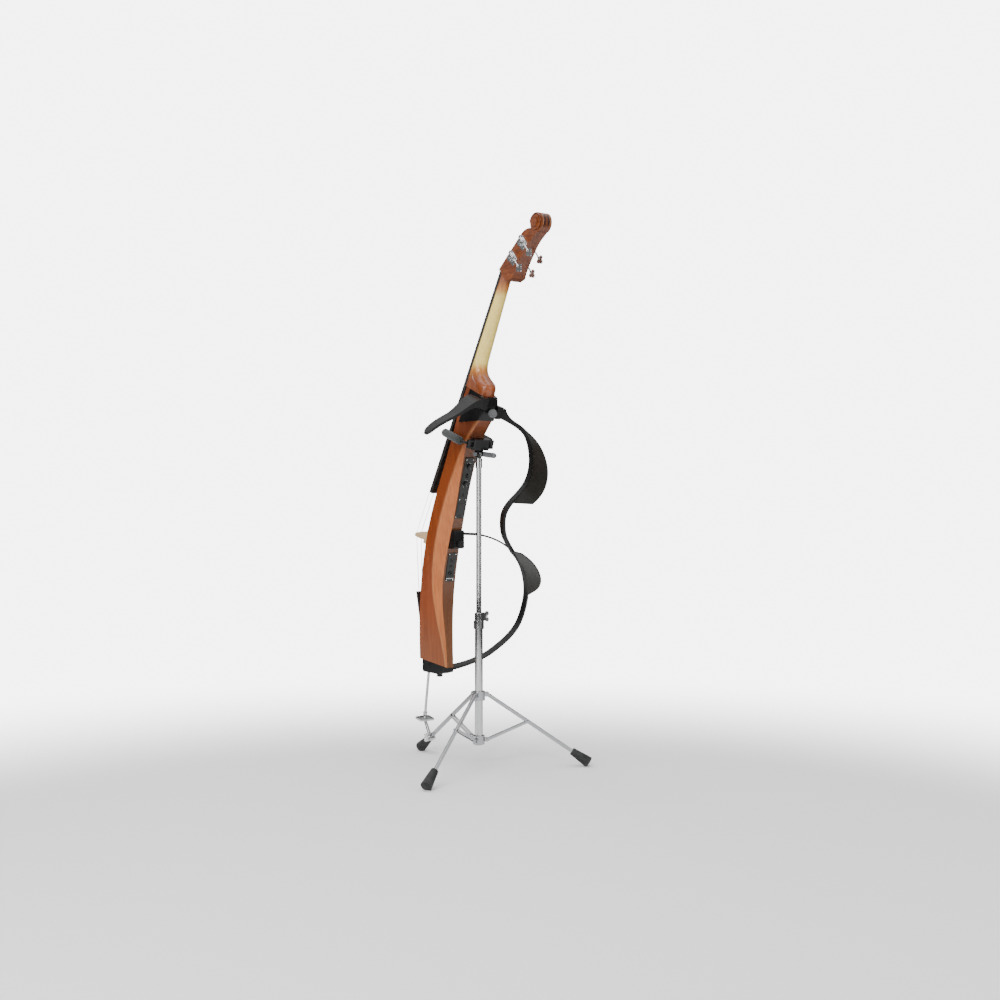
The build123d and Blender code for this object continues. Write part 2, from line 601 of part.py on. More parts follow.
# ---- top bracket ---------------------------------------------------------------------------------
with BuildPart() as top_bracket:
    for z, wf, yf, wc, yc, wb, yb in BODY[13:]:
        with BuildSketch(Plane.XY.offset(z)):
            with BuildLine():
                Polyline((-wf - 5, yf), (wf + 5, yf), (wc + 5, yc + 1), (wb + 3, yb + 5.5),
                         (-wb - 3, yb + 5.5), (-wc - 5, yc + 1), close=True)
            make_face()
    loft()
    for side in (-1, 1):
        with BuildSketch(FRAME_SIDE.offset(side * 22)):
            v0, v1 = (930, 975) if side < 0 else (962, 1004)
            with Locations(((v0 + v1) / 2, 8)):
                RectangleRounded(v1 - v0, 34, 4)
        extrude(amount=side * 18)
    add(hull.part, mode=Mode.SUBTRACT)
    with BuildSketch(SIDE):
        with BuildLine():
            Polyline(board_point(300, 48)[1:], board_point(700, 48)[1:], (220, 1098), (220, 1448),
                     close=True)
        make_face()
    extrude(amount=120, both=True, mode=Mode.INTERSECT)
    with BuildSketch(SIDE):
        with BuildLine():
            Polyline((-200, 1223), (220, 1223), (220, z1 + m1 * (220 - y1)),
                     (-200, z1 + m1 * (-200 - y1)), close=True)
        make_face()
    extrude(amount=120, both=True, mode=Mode.INTERSECT)
    for side, name in ((-1, "left"), (1, "right")):
        for v in ROOT_PINS[name]:
            rod(frame_point(side * 30, v, 6), frame_point(side * 60, v, 6), 4.0 + RUN, Mode.SUBTRACT)
    rod((0, 60, 1246), (0, 100, 1246), 3.0 + RUN, Mode.SUBTRACT)
top_bracket.part.label = "top_bracket"
export_step(top_bracket.part, "parts/top_bracket.step")

with BuildPart() as top_screw:
    thumb_screw((0, 74.2, 1246), (0, 1, 0), 6.4, 15.0, 11.0)
top_screw.part.label = "top_thumb_screw"
export_step(top_screw.part, "parts/top_thumb_screw.step")

# ---- middle bracket ------------------------------------------------------------------------------
with BuildPart() as middle_bracket:
    with BuildSketch(SIDE):
        with BuildLine():
            Polyline((-180, 770), (-131, 770), (-127, 776), (-127, 830), (-131, 836), (-180, 836),
                     close=True)
        make_face()
    extrude(amount=22, both=True)
    add(hull.part, mode=Mode.SUBTRACT)
    rod((-30, STAY[0][1], STAY[0][2]), (-4, STAY[0][1], STAY[0][2]), STAY_R[0] + RUN, Mode.SUBTRACT)
    rod((0, -140, 788), (0, -110, 788), 3.0 + RUN, Mode.SUBTRACT)
middle_bracket.part.label = "middle_bracket"
export_step(middle_bracket.part, "parts/middle_bracket.step")

with BuildPart() as middle_screw:
    thumb_screw((0, -139.6, 788), (0, 1, 0), 13.2, 11.0, 12.0)
middle_screw.part.label = "middle_thumb_screw"
export_step(middle_screw.part, "parts/middle_thumb_screw.step")

# ---- side frame ----------------------------------------------------------------------------------
with BuildPart() as stay_rod:
    rod((-4.6, STAY[0][1], STAY[0][2]), STAY[0], STAY_R[0])
    rod(STAY[0], STAY[1], STAY_R[0])
    ball(STAY[0], STAY_R[0])
    ball(STAY[1], STAY_R[0])
    with BuildLine() as stay_line:
        Spline(*STAY[1:])
    with BuildSketch(Plane(origin=STAY[1], z_dir=stay_line.line % 0)):
        Circle(STAY_R[1])
    sweep()

with BuildPart() as upper_band:
    with BuildSketch(FRAME.offset(BAND_REAR)):
        ribbon(UPPER_BAND, UPPER_HALF)
    extrude(amount=BAND_FRONT - BAND_REAR)
    with BuildSketch(FRAME_SIDE.offset(-40.4)):
        with Locations((900, 0)):
            Rectangle(400, 400)
    extrude(amount=80, mode=Mode.SUBTRACT)
    with BuildSketch(FRAME_SIDE.offset(-40.4)):
        with Locations((952.5, 6)):
            RectangleRounded(41, 30, 4)
    extrude(amount=-7.6)
    for v in ROOT_PINS["left"]:
        rod(frame_point(-46, v, 6), frame_point(-31, v, 6), 4.0)
    add(stay_rod.part)
upper_band.part.label = "frame_upper_band"
export_step(upper_band.part, "parts/frame_upper_band.step")

with BuildPart() as lower_band:
    with BuildSketch(FRAME.offset(BAND_REAR)):
        ribbon(LOWER_BAND, LOWER_HALF)
    extrude(amount=BAND_FRONT - BAND_REAR)
    rod((-26, -212, 326), (-9, -212, 326), 4.0)
    add(upper_band.part, mode=Mode.SUBTRACT)
    with BuildSketch(SIDE.offset(-22.4)):
        with Locations((-200, 340)):
            Rectangle(200, 100)
        with Locations((-212, 326)):
            Circle(4.0, mode=Mode.SUBTRACT)
    extrude(amount=30, mode=Mode.SUBTRACT)
lower_band.part.label = "frame_lower_band"
export_step(lower_band.part, "parts/frame_lower_band.step")

SHIELD_PARTS = []
for line, edge, foot in ((UPPER_SHIELD, UPPER_SHIELD_EDGE, UPPER_SHIELD_FOOT),
                         (LOWER_SHIELD, LOWER_SHIELD_EDGE, LOWER_SHIELD_FOOT)):
    with BuildPart() as shield:
        with BuildSketch(FRAME.offset(BAND_REAR)):
            ribbon(line, [2.5] * len(line))
        with BuildSketch(FRAME.offset(-92)):
            ribbon(line, [2.5] * len(line), shift=16.0)
        loft()
        with BuildSketch(FRAME_SIDE):
            with BuildLine():
                Spline(*[(v, -d) for v, d in edge])
                Polyline((edge[-1][0], -edge[-1][1]), (foot, 0), (edge[0][0], 0),
                         (edge[0][0], -edge[0][1]))
            make_face()
        extrude(amount=420, both=True, mode=Mode.INTERSECT)
    SHIELD_PARTS.append(shield.part)

with BuildPart() as frame_shields:
    for part in SHIELD_PARTS:
        add(part)
frame_shields.part.label = "frame_shields"
export_step(frame_shields.part, "parts/frame_shields.step")

with BuildPart() as right_arm:
    with BuildSketch(FRAME.offset(BAND_REAR)):
        ribbon(RIGHT_ARM, RIGHT_HALF)
    extrude(amount=80)
    with BuildSketch(Plane(origin=FRAME_ORIGIN, x_dir=(1, 0, 0), z_dir=FRAME.y_dir).offset(800)):
        with BuildLine():
            Spline((40, -72), (90, -60), (150, -38), (225, -28), (249, -14), (249, 0))
            Polyline((249, 0), (236, 10.1), (40, 10.1), (40, -72))
        make_face()
    extrude(amount=260, mode=Mode.INTERSECT)
    with BuildSketch(FRAME_SIDE.offset(40.4)):
        with Locations((900, 0)):
            Rectangle(400, 400)
    extrude(amount=-80, mode=Mode.SUBTRACT)
    with BuildSketch(FRAME_SIDE.offset(40.4)):
        with Locations((985, 6)):
            RectangleRounded(40, 30, 4)
    extrude(amount=8)
    for v in ROOT_PINS["right"]:
        rod(frame_point(46, v, 6), frame_point(31, v, 6), 4.0)
right_arm.part.label = "right_arm"
export_step(right_arm.part, "parts/right_arm.step")

# ---- upper control panel, battery door, battery, knobs, switch, sockets --------------------------
with BuildPart() as upper_panel:
    rows = [(back_at(z), z) for z in (1096, 1078, 1059, 1035, 1010, 990, 960, 930, 905, 880)]
    with BuildSketch(SIDE):
        with BuildLine():
            Spline(*[(y - 1.5, z) for y, z in rows])
            Line((rows[-1][0] - 1.5, rows[-1][1]), (rows[-1][0] + PANEL_T, rows[-1][1]))
            Spline(*[(y + PANEL_T, z) for y, z in reversed(rows)])
            Line((rows[0][0] + PANEL_T, rows[0][1]), (rows[0][0] - 1.5, rows[0][1]))
        make_face()
    extrude(amount=18.5, both=True)
    add(hull.part, mode=Mode.SUBTRACT)
    with BuildSketch(DOOR_PLANE.offset(-10)):
        Rectangle(31, DOOR_LENGTH + 1)
    extrude(amount=20, mode=Mode.SUBTRACT)
    for z in KNOB_Z.values():
        with BuildSketch(back_plane(z).offset(-10)):
            Circle(3.0 + RUN)
        extrude(amount=20, mode=Mode.SUBTRACT)
    with BuildSketch(back_plane(SWITCH_Z).offset(-10)):
        Rectangle(9, 16)
    extrude(amount=20, mode=Mode.SUBTRACT)
    with BuildSketch(back_plane(PHONES_Z).offset(-10)):
        Circle(4.0)
    extrude(amount=20, mode=Mode.SUBTRACT)
    hinge = DOOR_PLANE.origin + DOOR_PLANE.y_dir * (1.5 - DOOR_LENGTH / 2) + DOOR_PLANE.z_dir * 1.7
    rod((-17.2, hinge.Y, hinge.Z), (17.2, hinge.Y, hinge.Z), 0.8 + RUN, Mode.SUBTRACT)
upper_panel.part.label = "upper_panel"
export_step(upper_panel.part, "parts/upper_panel.step")

with BuildPart() as battery_door:
    with BuildSketch(DOOR_PLANE.offset(0.5)):
        with Locations((0, 0.75)):
            Rectangle(30, DOOR_LENGTH - 1.5)
    extrude(amount=2.5)
    rod((-15, hinge.Y, hinge.Z), (15, hinge.Y, hinge.Z), 1.25)
    rod((-17, hinge.Y, hinge.Z), (17, hinge.Y, hinge.Z), 0.8)
    with BuildSketch(DOOR_PLANE.offset(3.0)):
        with Locations((0, DOOR_LENGTH / 2 - 6)):
            RectangleRounded(14, 4, 1.5)
    extrude(amount=1.2)
battery_door.part.label = "battery_door"
export_step(battery_door.part, "parts/battery_door.step")

with BuildPart() as battery:
    with BuildSketch(DOOR_PLANE.offset(-20.5)):
        RectangleRounded(26, 46, 2)
    extrude(amount=17)
battery.part.label = "battery"
export_step(battery.part, "parts/battery.step")

for key, z in KNOB_Z.items():
    with BuildPart() as knob:
        with BuildSketch(back_plane(z).offset(-9)):
            Circle(3.0)
        extrude(amount=14)
        with BuildSketch(back_plane(z).offset(PANEL_T + 0.9)):
            Circle(9.0)
            with PolarLocations(9.4, 18):
                Circle(0.8, mode=Mode.SUBTRACT)
        extrude(amount=9)
        fillet(knob.faces().sort_by(Axis.Y)[-1].edges(), 0.6)
        with BuildSketch(back_plane(z).offset(PANEL_T + 9.2)):
            with Locations((0, 5)):
                Rectangle(1.2, 6)
        extrude(amount=1.0)
    knob.part.label = f"knob_{key}"
    export_step(knob.part, f"parts/knob_{key}.step")

with BuildPart() as slide_switch:
    with BuildSketch(back_plane(SWITCH_Z).offset(1.0)):
        Rectangle(8.2, 6)
    extrude(amount=5.0)
slide_switch.part.label = "slide_switch"
export_step(slide_switch.part, "parts/slide_switch.step")

with BuildPart() as lower_panel:
    rows = [(back_at(z), z) for z in (753, 735, 715, 700, 685, 665, 649)]
    with BuildSketch(SIDE):
        with BuildLine():
            Spline(*[(y - 1.5, z) for y, z in rows])
            Line((rows[-1][0] - 1.5, rows[-1][1]), (rows[-1][0] + PANEL_T, rows[-1][1]))
            Spline(*[(y + PANEL_T, z) for y, z in reversed(rows)])
            Line((rows[0][0] + PANEL_T, rows[0][1]), (rows[0][0] - 1.5, rows[0][1]))
        make_face()
    extrude(amount=17, both=True)
    add(hull.part, mode=Mode.SUBTRACT)
    for z, r in ((OUTPUT_Z, 8.0), (AUX_Z, 4.0), (POWER_Z, 5.0), (LED_Z, 1.6)):
        with BuildSketch(back_plane(z).offset(-10)):
            Circle(r)
        extrude(amount=20, mode=Mode.SUBTRACT)
lower_panel.part.label = "lower_panel"
export_step(lower_panel.part, "parts/lower_panel.step")

with BuildPart() as sockets:
    with BuildSketch(back_plane(OUTPUT_Z).offset(-39)):
        Circle(8.0)
    extrude(amount=39 + PANEL_T + 0.6)
    with BuildSketch(back_plane(OUTPUT_Z).offset(PANEL_T + 0.6)):
        RegularPolygon(9.5, 6)
    extrude(amount=2.4)
    with BuildSketch(back_plane(OUTPUT_Z).offset(PANEL_T + 3.0)):
        Circle(6.0)
    extrude(amount=1.5)
    with BuildSketch(back_plane(OUTPUT_Z).offset(PANEL_T + 4.5)):
        Circle(3.25)
    extrude(amount=-34, mode=Mode.SUBTRACT)
    for z, r, bore, depth in ((PHONES_Z, 4.0, 1.85, 13), (AUX_Z, 4.0, 1.85, 13), (POWER_Z, 5.0, 2.8, 11)):
        plane = back_plane(z)
        with BuildSketch(plane.offset(-depth)):
            Circle(r)
        extrude(amount=depth + PANEL_T + 0.6)
        with BuildSketch(plane.offset(PANEL_T + 0.6)):
            Circle(r + 2)
        extrude(amount=1.4)
        with BuildSketch(plane.offset(PANEL_T + 2.0)):
            Circle(bore)
        extrude(amount=2 - depth - PANEL_T, mode=Mode.SUBTRACT)
sockets.part.label = "sockets"
export_step(sockets.part, "parts/sockets.step")

# ==================================================================================================
# Stand
# ==================================================================================================
DROP = math.radians(LEG_DROP)
JOINT_R = PIVOT_R + BRACE_AT * math.cos(DROP)
JOINT_Z = HUB_Z - BRACE_AT * math.sin(DROP)
BRACE_LENGTH = math.hypot(JOINT_R - PIVOT_R, JOINT_Z - LOWER_HUB_Z)
BRACE_RISE = math.degrees(math.atan2(JOINT_Z - LOWER_HUB_Z, JOINT_R - PIVOT_R))

with BuildPart() as lower_tube:
    with BuildSketch(Plane.XY.offset(LOWER_TUBE_Z[0])):
        Circle(LOWER_TUBE_R)
        Circle(LOWER_TUBE_BORE, mode=Mode.SUBTRACT)
    extrude(amount=LOWER_TUBE_Z[1] - LOWER_TUBE_Z[0])
lower_tube.part.label = "lower_tube"
export_step(lower_tube.part, "parts/lower_tube.step")

with BuildPart() as upper_tube:
    with BuildSketch(Plane.XY.offset(UPPER_TUBE_Z[0])):
        Circle(UPPER_TUBE_R)
        Circle(UPPER_TUBE_BORE, mode=Mode.SUBTRACT)
    extrude(amount=UPPER_TUBE_Z[1] - UPPER_TUBE_Z[0])
    with BuildSketch(Plane.XY.offset(UPPER_TUBE_Z[0])):
        Circle(LOWER_TUBE_BORE - RUN)
        Circle(UPPER_TUBE_BORE, mode=Mode.SUBTRACT)
    extrude(amount=20)
upper_tube.part.label = "upper_tube"
export_step(upper_tube.part, "parts/upper_tube.step")

with BuildPart() as height_clamp:
    with BuildSketch(Plane.XY.offset(CLAMP_Z[0])):
        Circle(18.5)
    extrude(amount=CLAMP_Z[1] - CLAMP_Z[0])
    with BuildSketch(Plane.XY.offset(CLAMP_Z[1])):
        Circle(15.0)
        with Locations((-17, 0)):
            Rectangle(16, 17)
    extrude(amount=CLAMP_Z[2] - CLAMP_Z[1])
    fillet(height_clamp.edges().filter_by(GeomType.CIRCLE).sort_by(Axis.Z)[-1], 2)
    with BuildSketch(Plane.XY.offset(CLAMP_Z[0])):
        Circle(LOWER_TUBE_R)
    extrude(amount=LOWER_TUBE_Z[1] - CLAMP_Z[0], mode=Mode.SUBTRACT)
    with BuildSketch(Plane.XY.offset(LOWER_TUBE_Z[1])):
        Circle(UPPER_TUBE_R + RUN)
    extrude(amount=60, mode=Mode.SUBTRACT)
    rod((-30, 0, 534), (-5, 0, 534), 3.0 + RUN, Mode.SUBTRACT)
height_clamp.part.label = "height_clamp"
export_step(height_clamp.part, "parts/height_clamp.step")

with BuildPart() as clamp_bolt:
    wing_bolt((-9.9, 0, 534), (-1, 0, 0), (0, 0, 1), 15.6, 36)
clamp_bolt.part.label = "height_wing_bolt"
export_step(clamp_bolt.part, "parts/height_wing_bolt.step")

with BuildPart() as upper_hub:
    with BuildSketch(Plane.XY.offset(HUB_Z - 21)):
        Circle(22)
    extrude(amount=32)
    for angle in LEG_ANGLES.values():
        plane = radial_plane(angle)
        for sign in (-1, 1):
            with BuildSketch(plane.offset(sign * 5.4)):
                with BuildLine():
                    Polyline((16, HUB_Z - 8), (PIVOT_R, HUB_Z - 8))
                    ThreePointArc((PIVOT_R, HUB_Z - 8), (PIVOT_R + 8, HUB_Z), (PIVOT_R, HUB_Z + 8))
                    Polyline((PIVOT_R, HUB_Z + 8), (16, HUB_Z + 8), (16, HUB_Z - 8))
                make_face()
            extrude(amount=sign * 3.5)
        with BuildSketch(plane):
            with Locations((PIVOT_R, HUB_Z)):
                Circle(3.0)
        extrude(amount=10.4, both=True)
    with BuildSketch(Plane.XY.offset(HUB_Z - 60)):
        Circle(LOWER_TUBE_R + RUN)
    extrude(amount=120, mode=Mode.SUBTRACT)
upper_hub.part.label = "upper_hub"
export_step(upper_hub.part, "parts/upper_hub.step")

with BuildPart() as lower_hub:
    with BuildSketch(Plane.XY.offset(LOWER_HUB_Z - 15)):
        Circle(21)
    extrude(amount=30)
    for angle in LEG_ANGLES.values():
        plane = radial_plane(angle)
        with BuildSketch(plane):
            with BuildLine():
                Polyline((16, LOWER_HUB_Z - 7), (PIVOT_R, LOWER_HUB_Z - 7))
                ThreePointArc((PIVOT_R, LOWER_HUB_Z - 7), (PIVOT_R + 7, LOWER_HUB_Z),
                              (PIVOT_R, LOWER_HUB_Z + 7))
                Polyline((PIVOT_R, LOWER_HUB_Z + 7), (16, LOWER_HUB_Z + 7), (16, LOWER_HUB_Z - 7))
            make_face()
        extrude(amount=5.2, both=True)
        with BuildSketch(plane):
            with Locations((PIVOT_R, LOWER_HUB_Z)):
                Circle(2.5)
        extrude(amount=9.4, both=True)
        for sign in (-1, 1):
            with BuildSketch(plane.offset(sign * 7.6)):
                with Locations((PIVOT_R, LOWER_HUB_Z)):
                    Circle(4.2)
            extrude(amount=sign * 2.0)
    with BuildSketch(Plane.XY.offset(LOWER_TUBE_Z[0])):
        Circle(LOWER_TUBE_R)
    extrude(amount=100, mode=Mode.SUBTRACT)
    with BuildSketch(Plane.XY.offset(LOWER_TUBE_Z[0] - 5)):
        Circle(LOWER_TUBE_R + 1.2)
    extrude(amount=5)
    with BuildSketch(Plane.XY.offset(LOWER_TUBE_Z[0] - 5)):
        Circle(LOWER_TUBE_R + 1.2)
        Circle(LOWER_TUBE_R, mode=Mode.SUBTRACT)
    extrude(amount=20)
lower_hub.part.label = "lower_hub"
export_step(lower_hub.part, "parts/lower_hub.step")

for name, angle in LEG_ANGLES.items():
    plane = radial_plane(angle)

    def along(distance, across=0.0):
        """Sketch point at a distance down the leg, and across it upwards."""
        return (PIVOT_R + distance * math.cos(DROP) + across * math.sin(DROP),
                HUB_Z - distance * math.sin(DROP) + across * math.cos(DROP))

    with BuildPart() as leg:
        with BuildSketch(plane):
            with Locations(along(200)):
                SlotCenterToCenter(400, LEG_H, rotation=-LEG_DROP)
        extrude(amount=LEG_W / 2, both=True)
        fillet(leg.edges().filter_by(lambda e: abs(e.length - 400) < 1), 2.2)
        with BuildSketch(plane):
            with Locations(along(0)):
                Circle(3.0 + RUN)
        extrude(amount=20, both=True, mode=Mode.SUBTRACT)
    leg.part.label = f"leg_{name}"
    export_step(leg.part, f"parts/leg_{name}.step")

    with BuildPart() as foot:
        start, end = (Vector(*plane.from_local_coords(along(d))) for d in (FOOT_START, LEG_LENGTH))
        direction = end - start
        with BuildSketch(Plane(origin=start, z_dir=direction)):
            Circle(FOOT_R[0])
        with BuildSketch(Plane(origin=end, z_dir=direction)):
            Circle(FOOT_R[1])
        loft()
        add(leg.part, mode=Mode.SUBTRACT)
        with BuildSketch(Plane.XY):
            Rectangle(1200, 1200)
        extrude(amount=-40, mode=Mode.SUBTRACT)
    foot.part.label = f"foot_{name}"
    export_step(foot.part, f"parts/foot_{name}.step")

    with BuildPart() as brace:
        for sign in (-1, 1):
            with BuildSketch(plane.offset(sign * BRACE_GAP)):
                with Locations(((PIVOT_R + JOINT_R) / 2, (LOWER_HUB_Z + JOINT_Z) / 2)):
                    SlotCenterToCenter(BRACE_LENGTH, BRACE_H, rotation=BRACE_RISE)
                with Locations((PIVOT_R, LOWER_HUB_Z)):
                    Circle(2.5 + RUN, mode=Mode.SUBTRACT)
            extrude(amount=sign * BRACE_T)
            with BuildSketch(plane.offset(sign * BRACE_GAP)):
                with Locations((JOINT_R, JOINT_Z)):
                    Circle(5.0)
            extrude(amount=sign * 4.0)
        with BuildSketch(plane):
            with Locations((PIVOT_R + 26 * math.cos(math.radians(BRACE_RISE)),
                            LOWER_HUB_Z + 26 * math.sin(math.radians(BRACE_RISE)))):
                Circle(3.0)
        extrude(amount=BRACE_GAP, both=True)
    brace.part.label = f"brace_{name}"
    export_step(brace.part, f"parts/brace_{name}.step")

# ---- end-pin holder on the front leg -------------------------------------------------------------
front = radial_plane(LEG_ANGLES["front"])
HOLDER_AT = 352.0
holder_mid = (PIVOT_R + HOLDER_AT * math.cos(DROP), HUB_Z - HOLDER_AT * math.sin(DROP))
CUP = Plane(origin=PIN_TIP, x_dir=(1, 0, 0), z_dir=PIN_DIR)
with BuildPart() as pin_holder:
    with BuildSketch(front):
        with Locations(holder_mid):
            Rectangle(24, 25, rotation=-LEG_DROP)
    extrude(amount=11, both=True)
    fillet(pin_holder.edges().filter_by(Axis.X), 3)
    rod((0, -330, 70), pin_point(-4.6), 6.0)
    with BuildSketch(front):
        with Locations(holder_mid):
            Rectangle(40, LEG_H + 0.0, rotation=-LEG_DROP)
    extrude(amount=LEG_W / 2, both=True, mode=Mode.SUBTRACT)
    rod((4, -holder_mid[0], holder_mid[1]), (30, -holder_mid[0], holder_mid[1]), 3.0 + RUN,
        Mode.SUBTRACT)
    with BuildSketch(CUP.offset(-4.6)):
        RectangleRounded(62, 46, 8)
    extrude(amount=4.0)
    with BuildSketch(CUP.offset(-0.6)):
        RectangleRounded(62, 46, 8)
        RectangleRounded(57, 41, 6, mode=Mode.SUBTRACT)
    extrude(amount=2.6)
pin_holder.part.label = "pin_holder"
export_step(pin_holder.part, "parts/pin_holder.step")

with BuildPart() as holder_bolt:
    wing_bolt((5.4, -holder_mid[0], holder_mid[1]), (1, 0, 0), (0, 0, 1), 6.2, 32)
holder_bolt.part.label = "holder_wing_bolt"
export_step(holder_bolt.part, "parts/holder_wing_bolt.step")

# ---- tilter, yoke block, arms, sleeves, lever ----------------------------------------------------
with BuildPart() as tilter_base:
    with BuildSketch(Plane.XY.offset(1058)):
        Circle(12.0)
    extrude(amount=34)
    fillet(tilter_base.edges().sort_by(Axis.Z)[0], 2)
    with BuildSketch(Plane.XY.offset(1050)):
        Circle(UPPER_TUBE_R)
    extrude(amount=25, mode=Mode.SUBTRACT)
    with BuildSketch(SIDE):
        with Locations((0, (1085 + TILT_Z) / 2)):
            Rectangle(20, TILT_Z - 1085)
        with Locations((0, TILT_Z)):
            Circle(10)
    extrude(amount=5, both=True)
    rod((-20, 0, TILT_Z), (20, 0, TILT_Z), 4.0 + RUN, Mode.SUBTRACT)
tilter_base.part.label = "tilter_base"
export_step(tilter_base.part, "parts/tilter_base.step")

YOKE_F = Vector(0, -math.cos(math.radians(YOKE_TILT)), math.sin(math.radians(YOKE_TILT)))
YOKE_U = Vector(0, math.sin(math.radians(YOKE_TILT)), math.cos(math.radians(YOKE_TILT)))
YOKE = Plane(origin=YOKE_CENTRE, x_dir=(1, 0, 0), z_dir=YOKE_U)


def yoke_point(x, f, u):
    """Point in the yoke's tilted frame: x across, f forwards, u up."""
    p = Vector(*YOKE_CENTRE) + Vector(x, 0, 0) + YOKE_F * f + YOKE_U * u
    return (p.X, p.Y, p.Z)


with BuildPart() as yoke_block:
    with BuildSketch(YOKE.offset(-19)):
        RectangleRounded(68, 28, 6)
    extrude(amount=38)
    for sign in (-1, 1):
        for low in (8.4, -14.4):
            with BuildSketch(YOKE.offset(low)):
                with Locations((sign * 38, 0)):
                    SlotCenterToCenter(16, 20)
            extrude(amount=6)
        rod(yoke_point(sign * ARM_PIVOT_X, 0, -16.5), yoke_point(sign * ARM_PIVOT_X, 0, 16.5), 4.0)
        with BuildSketch(SIDE.offset(sign * 5.4)):
            with BuildLine():
                Polyline((-10, TILT_Z), (-8, 1132), (14, 1132), (10, TILT_Z))
                ThreePointArc((10, TILT_Z), (0, TILT_Z - 10), (-10, TILT_Z))
            make_face()
        extrude(amount=sign * 6)
    rod((-20, 0, TILT_Z), (20, 0, TILT_Z), 4.0 + RUN, Mode.SUBTRACT)
yoke_block.part.label = "yoke_block"
export_step(yoke_block.part, "parts/yoke_block.step")

for name, sign in (("left", -1), ("right", 1)):
    with BuildPart() as arm:
        with BuildSketch(YOKE.offset(-8)):
            with Locations((sign * ARM_PIVOT_X, 0)):
                Circle(9)
        extrude(amount=16)
        with BuildLine() as arm_line:
            Spline(yoke_point(sign * ARM_PIVOT_X, 2, 0), yoke_point(sign * (ARM_PIVOT_X + 5), 14, 0),
                   yoke_point(sign * (ARM_X - 3), 27, 0), yoke_point(sign * ARM_X, 40, 0),
                   tangents=(YOKE_F + Vector(sign * 0.25, 0, 0), YOKE_F))
        with BuildSketch(Plane(origin=arm_line.line @ 0, z_dir=arm_line.line % 0)):
            Circle(5)
        sweep()
        rod(yoke_point(sign * ARM_X, 40, 0), yoke_point(sign * ARM_X, 138, 0), 5)
        rod(yoke_point(sign * ARM_PIVOT_X, 0, -20), yoke_point(sign * ARM_PIVOT_X, 0, 20), 4 + RUN,
            Mode.SUBTRACT)
    arm.part.label = f"yoke_arm_{name}"
    export_step(arm.part, f"parts/yoke_arm_{name}.step")

    with BuildPart() as sleeve:
        with BuildSketch(Plane(origin=yoke_point(sign * ARM_X, 30, 0), z_dir=YOKE_F)):
            Circle(SLEEVE_R)
        extrude(amount=114)
        fillet(sleeve.edges().filter_by(GeomType.CIRCLE), 6)
        add(arm.part, mode=Mode.SUBTRACT)
    sleeve.part.label = f"foam_sleeve_{name}"
    export_step(sleeve.part, f"parts/foam_sleeve_{name}.step")

with BuildPart() as tilt_lever:
    rod((20, 0, TILT_Z), (-28, 0, TILT_Z), 4.0)
    rod((11.9, 0, TILT_Z), (20, 0, TILT_Z), 7.5)
    rod((-11.9, 0, TILT_Z), (-28, 0, TILT_Z), 9.0)
    rod((-24, 6, TILT_Z - 1), (-34, 44, TILT_Z - 6), LEVER_R)
    ball((-24, 6, TILT_Z - 1), LEVER_R)
    ball((-34, 44, TILT_Z - 6), LEVER_R)
tilt_lever.part.label = "tilt_lever"
export_step(tilt_lever.part, "parts/tilt_lever.step")
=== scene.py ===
import math
import bmesh
import bpy
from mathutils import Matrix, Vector


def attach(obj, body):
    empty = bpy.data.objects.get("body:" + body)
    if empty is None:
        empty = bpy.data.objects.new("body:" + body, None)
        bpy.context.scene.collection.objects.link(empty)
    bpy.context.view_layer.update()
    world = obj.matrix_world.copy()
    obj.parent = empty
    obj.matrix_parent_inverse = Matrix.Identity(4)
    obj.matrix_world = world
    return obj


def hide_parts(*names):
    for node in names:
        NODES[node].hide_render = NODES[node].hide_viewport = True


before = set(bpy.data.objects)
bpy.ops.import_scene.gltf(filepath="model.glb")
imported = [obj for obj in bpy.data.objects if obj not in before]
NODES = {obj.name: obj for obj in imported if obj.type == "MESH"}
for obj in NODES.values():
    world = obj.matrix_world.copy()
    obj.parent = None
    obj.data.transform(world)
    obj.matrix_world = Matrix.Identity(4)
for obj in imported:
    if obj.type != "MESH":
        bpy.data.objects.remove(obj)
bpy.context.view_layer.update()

# ---------------------------------------------------------------- material tools


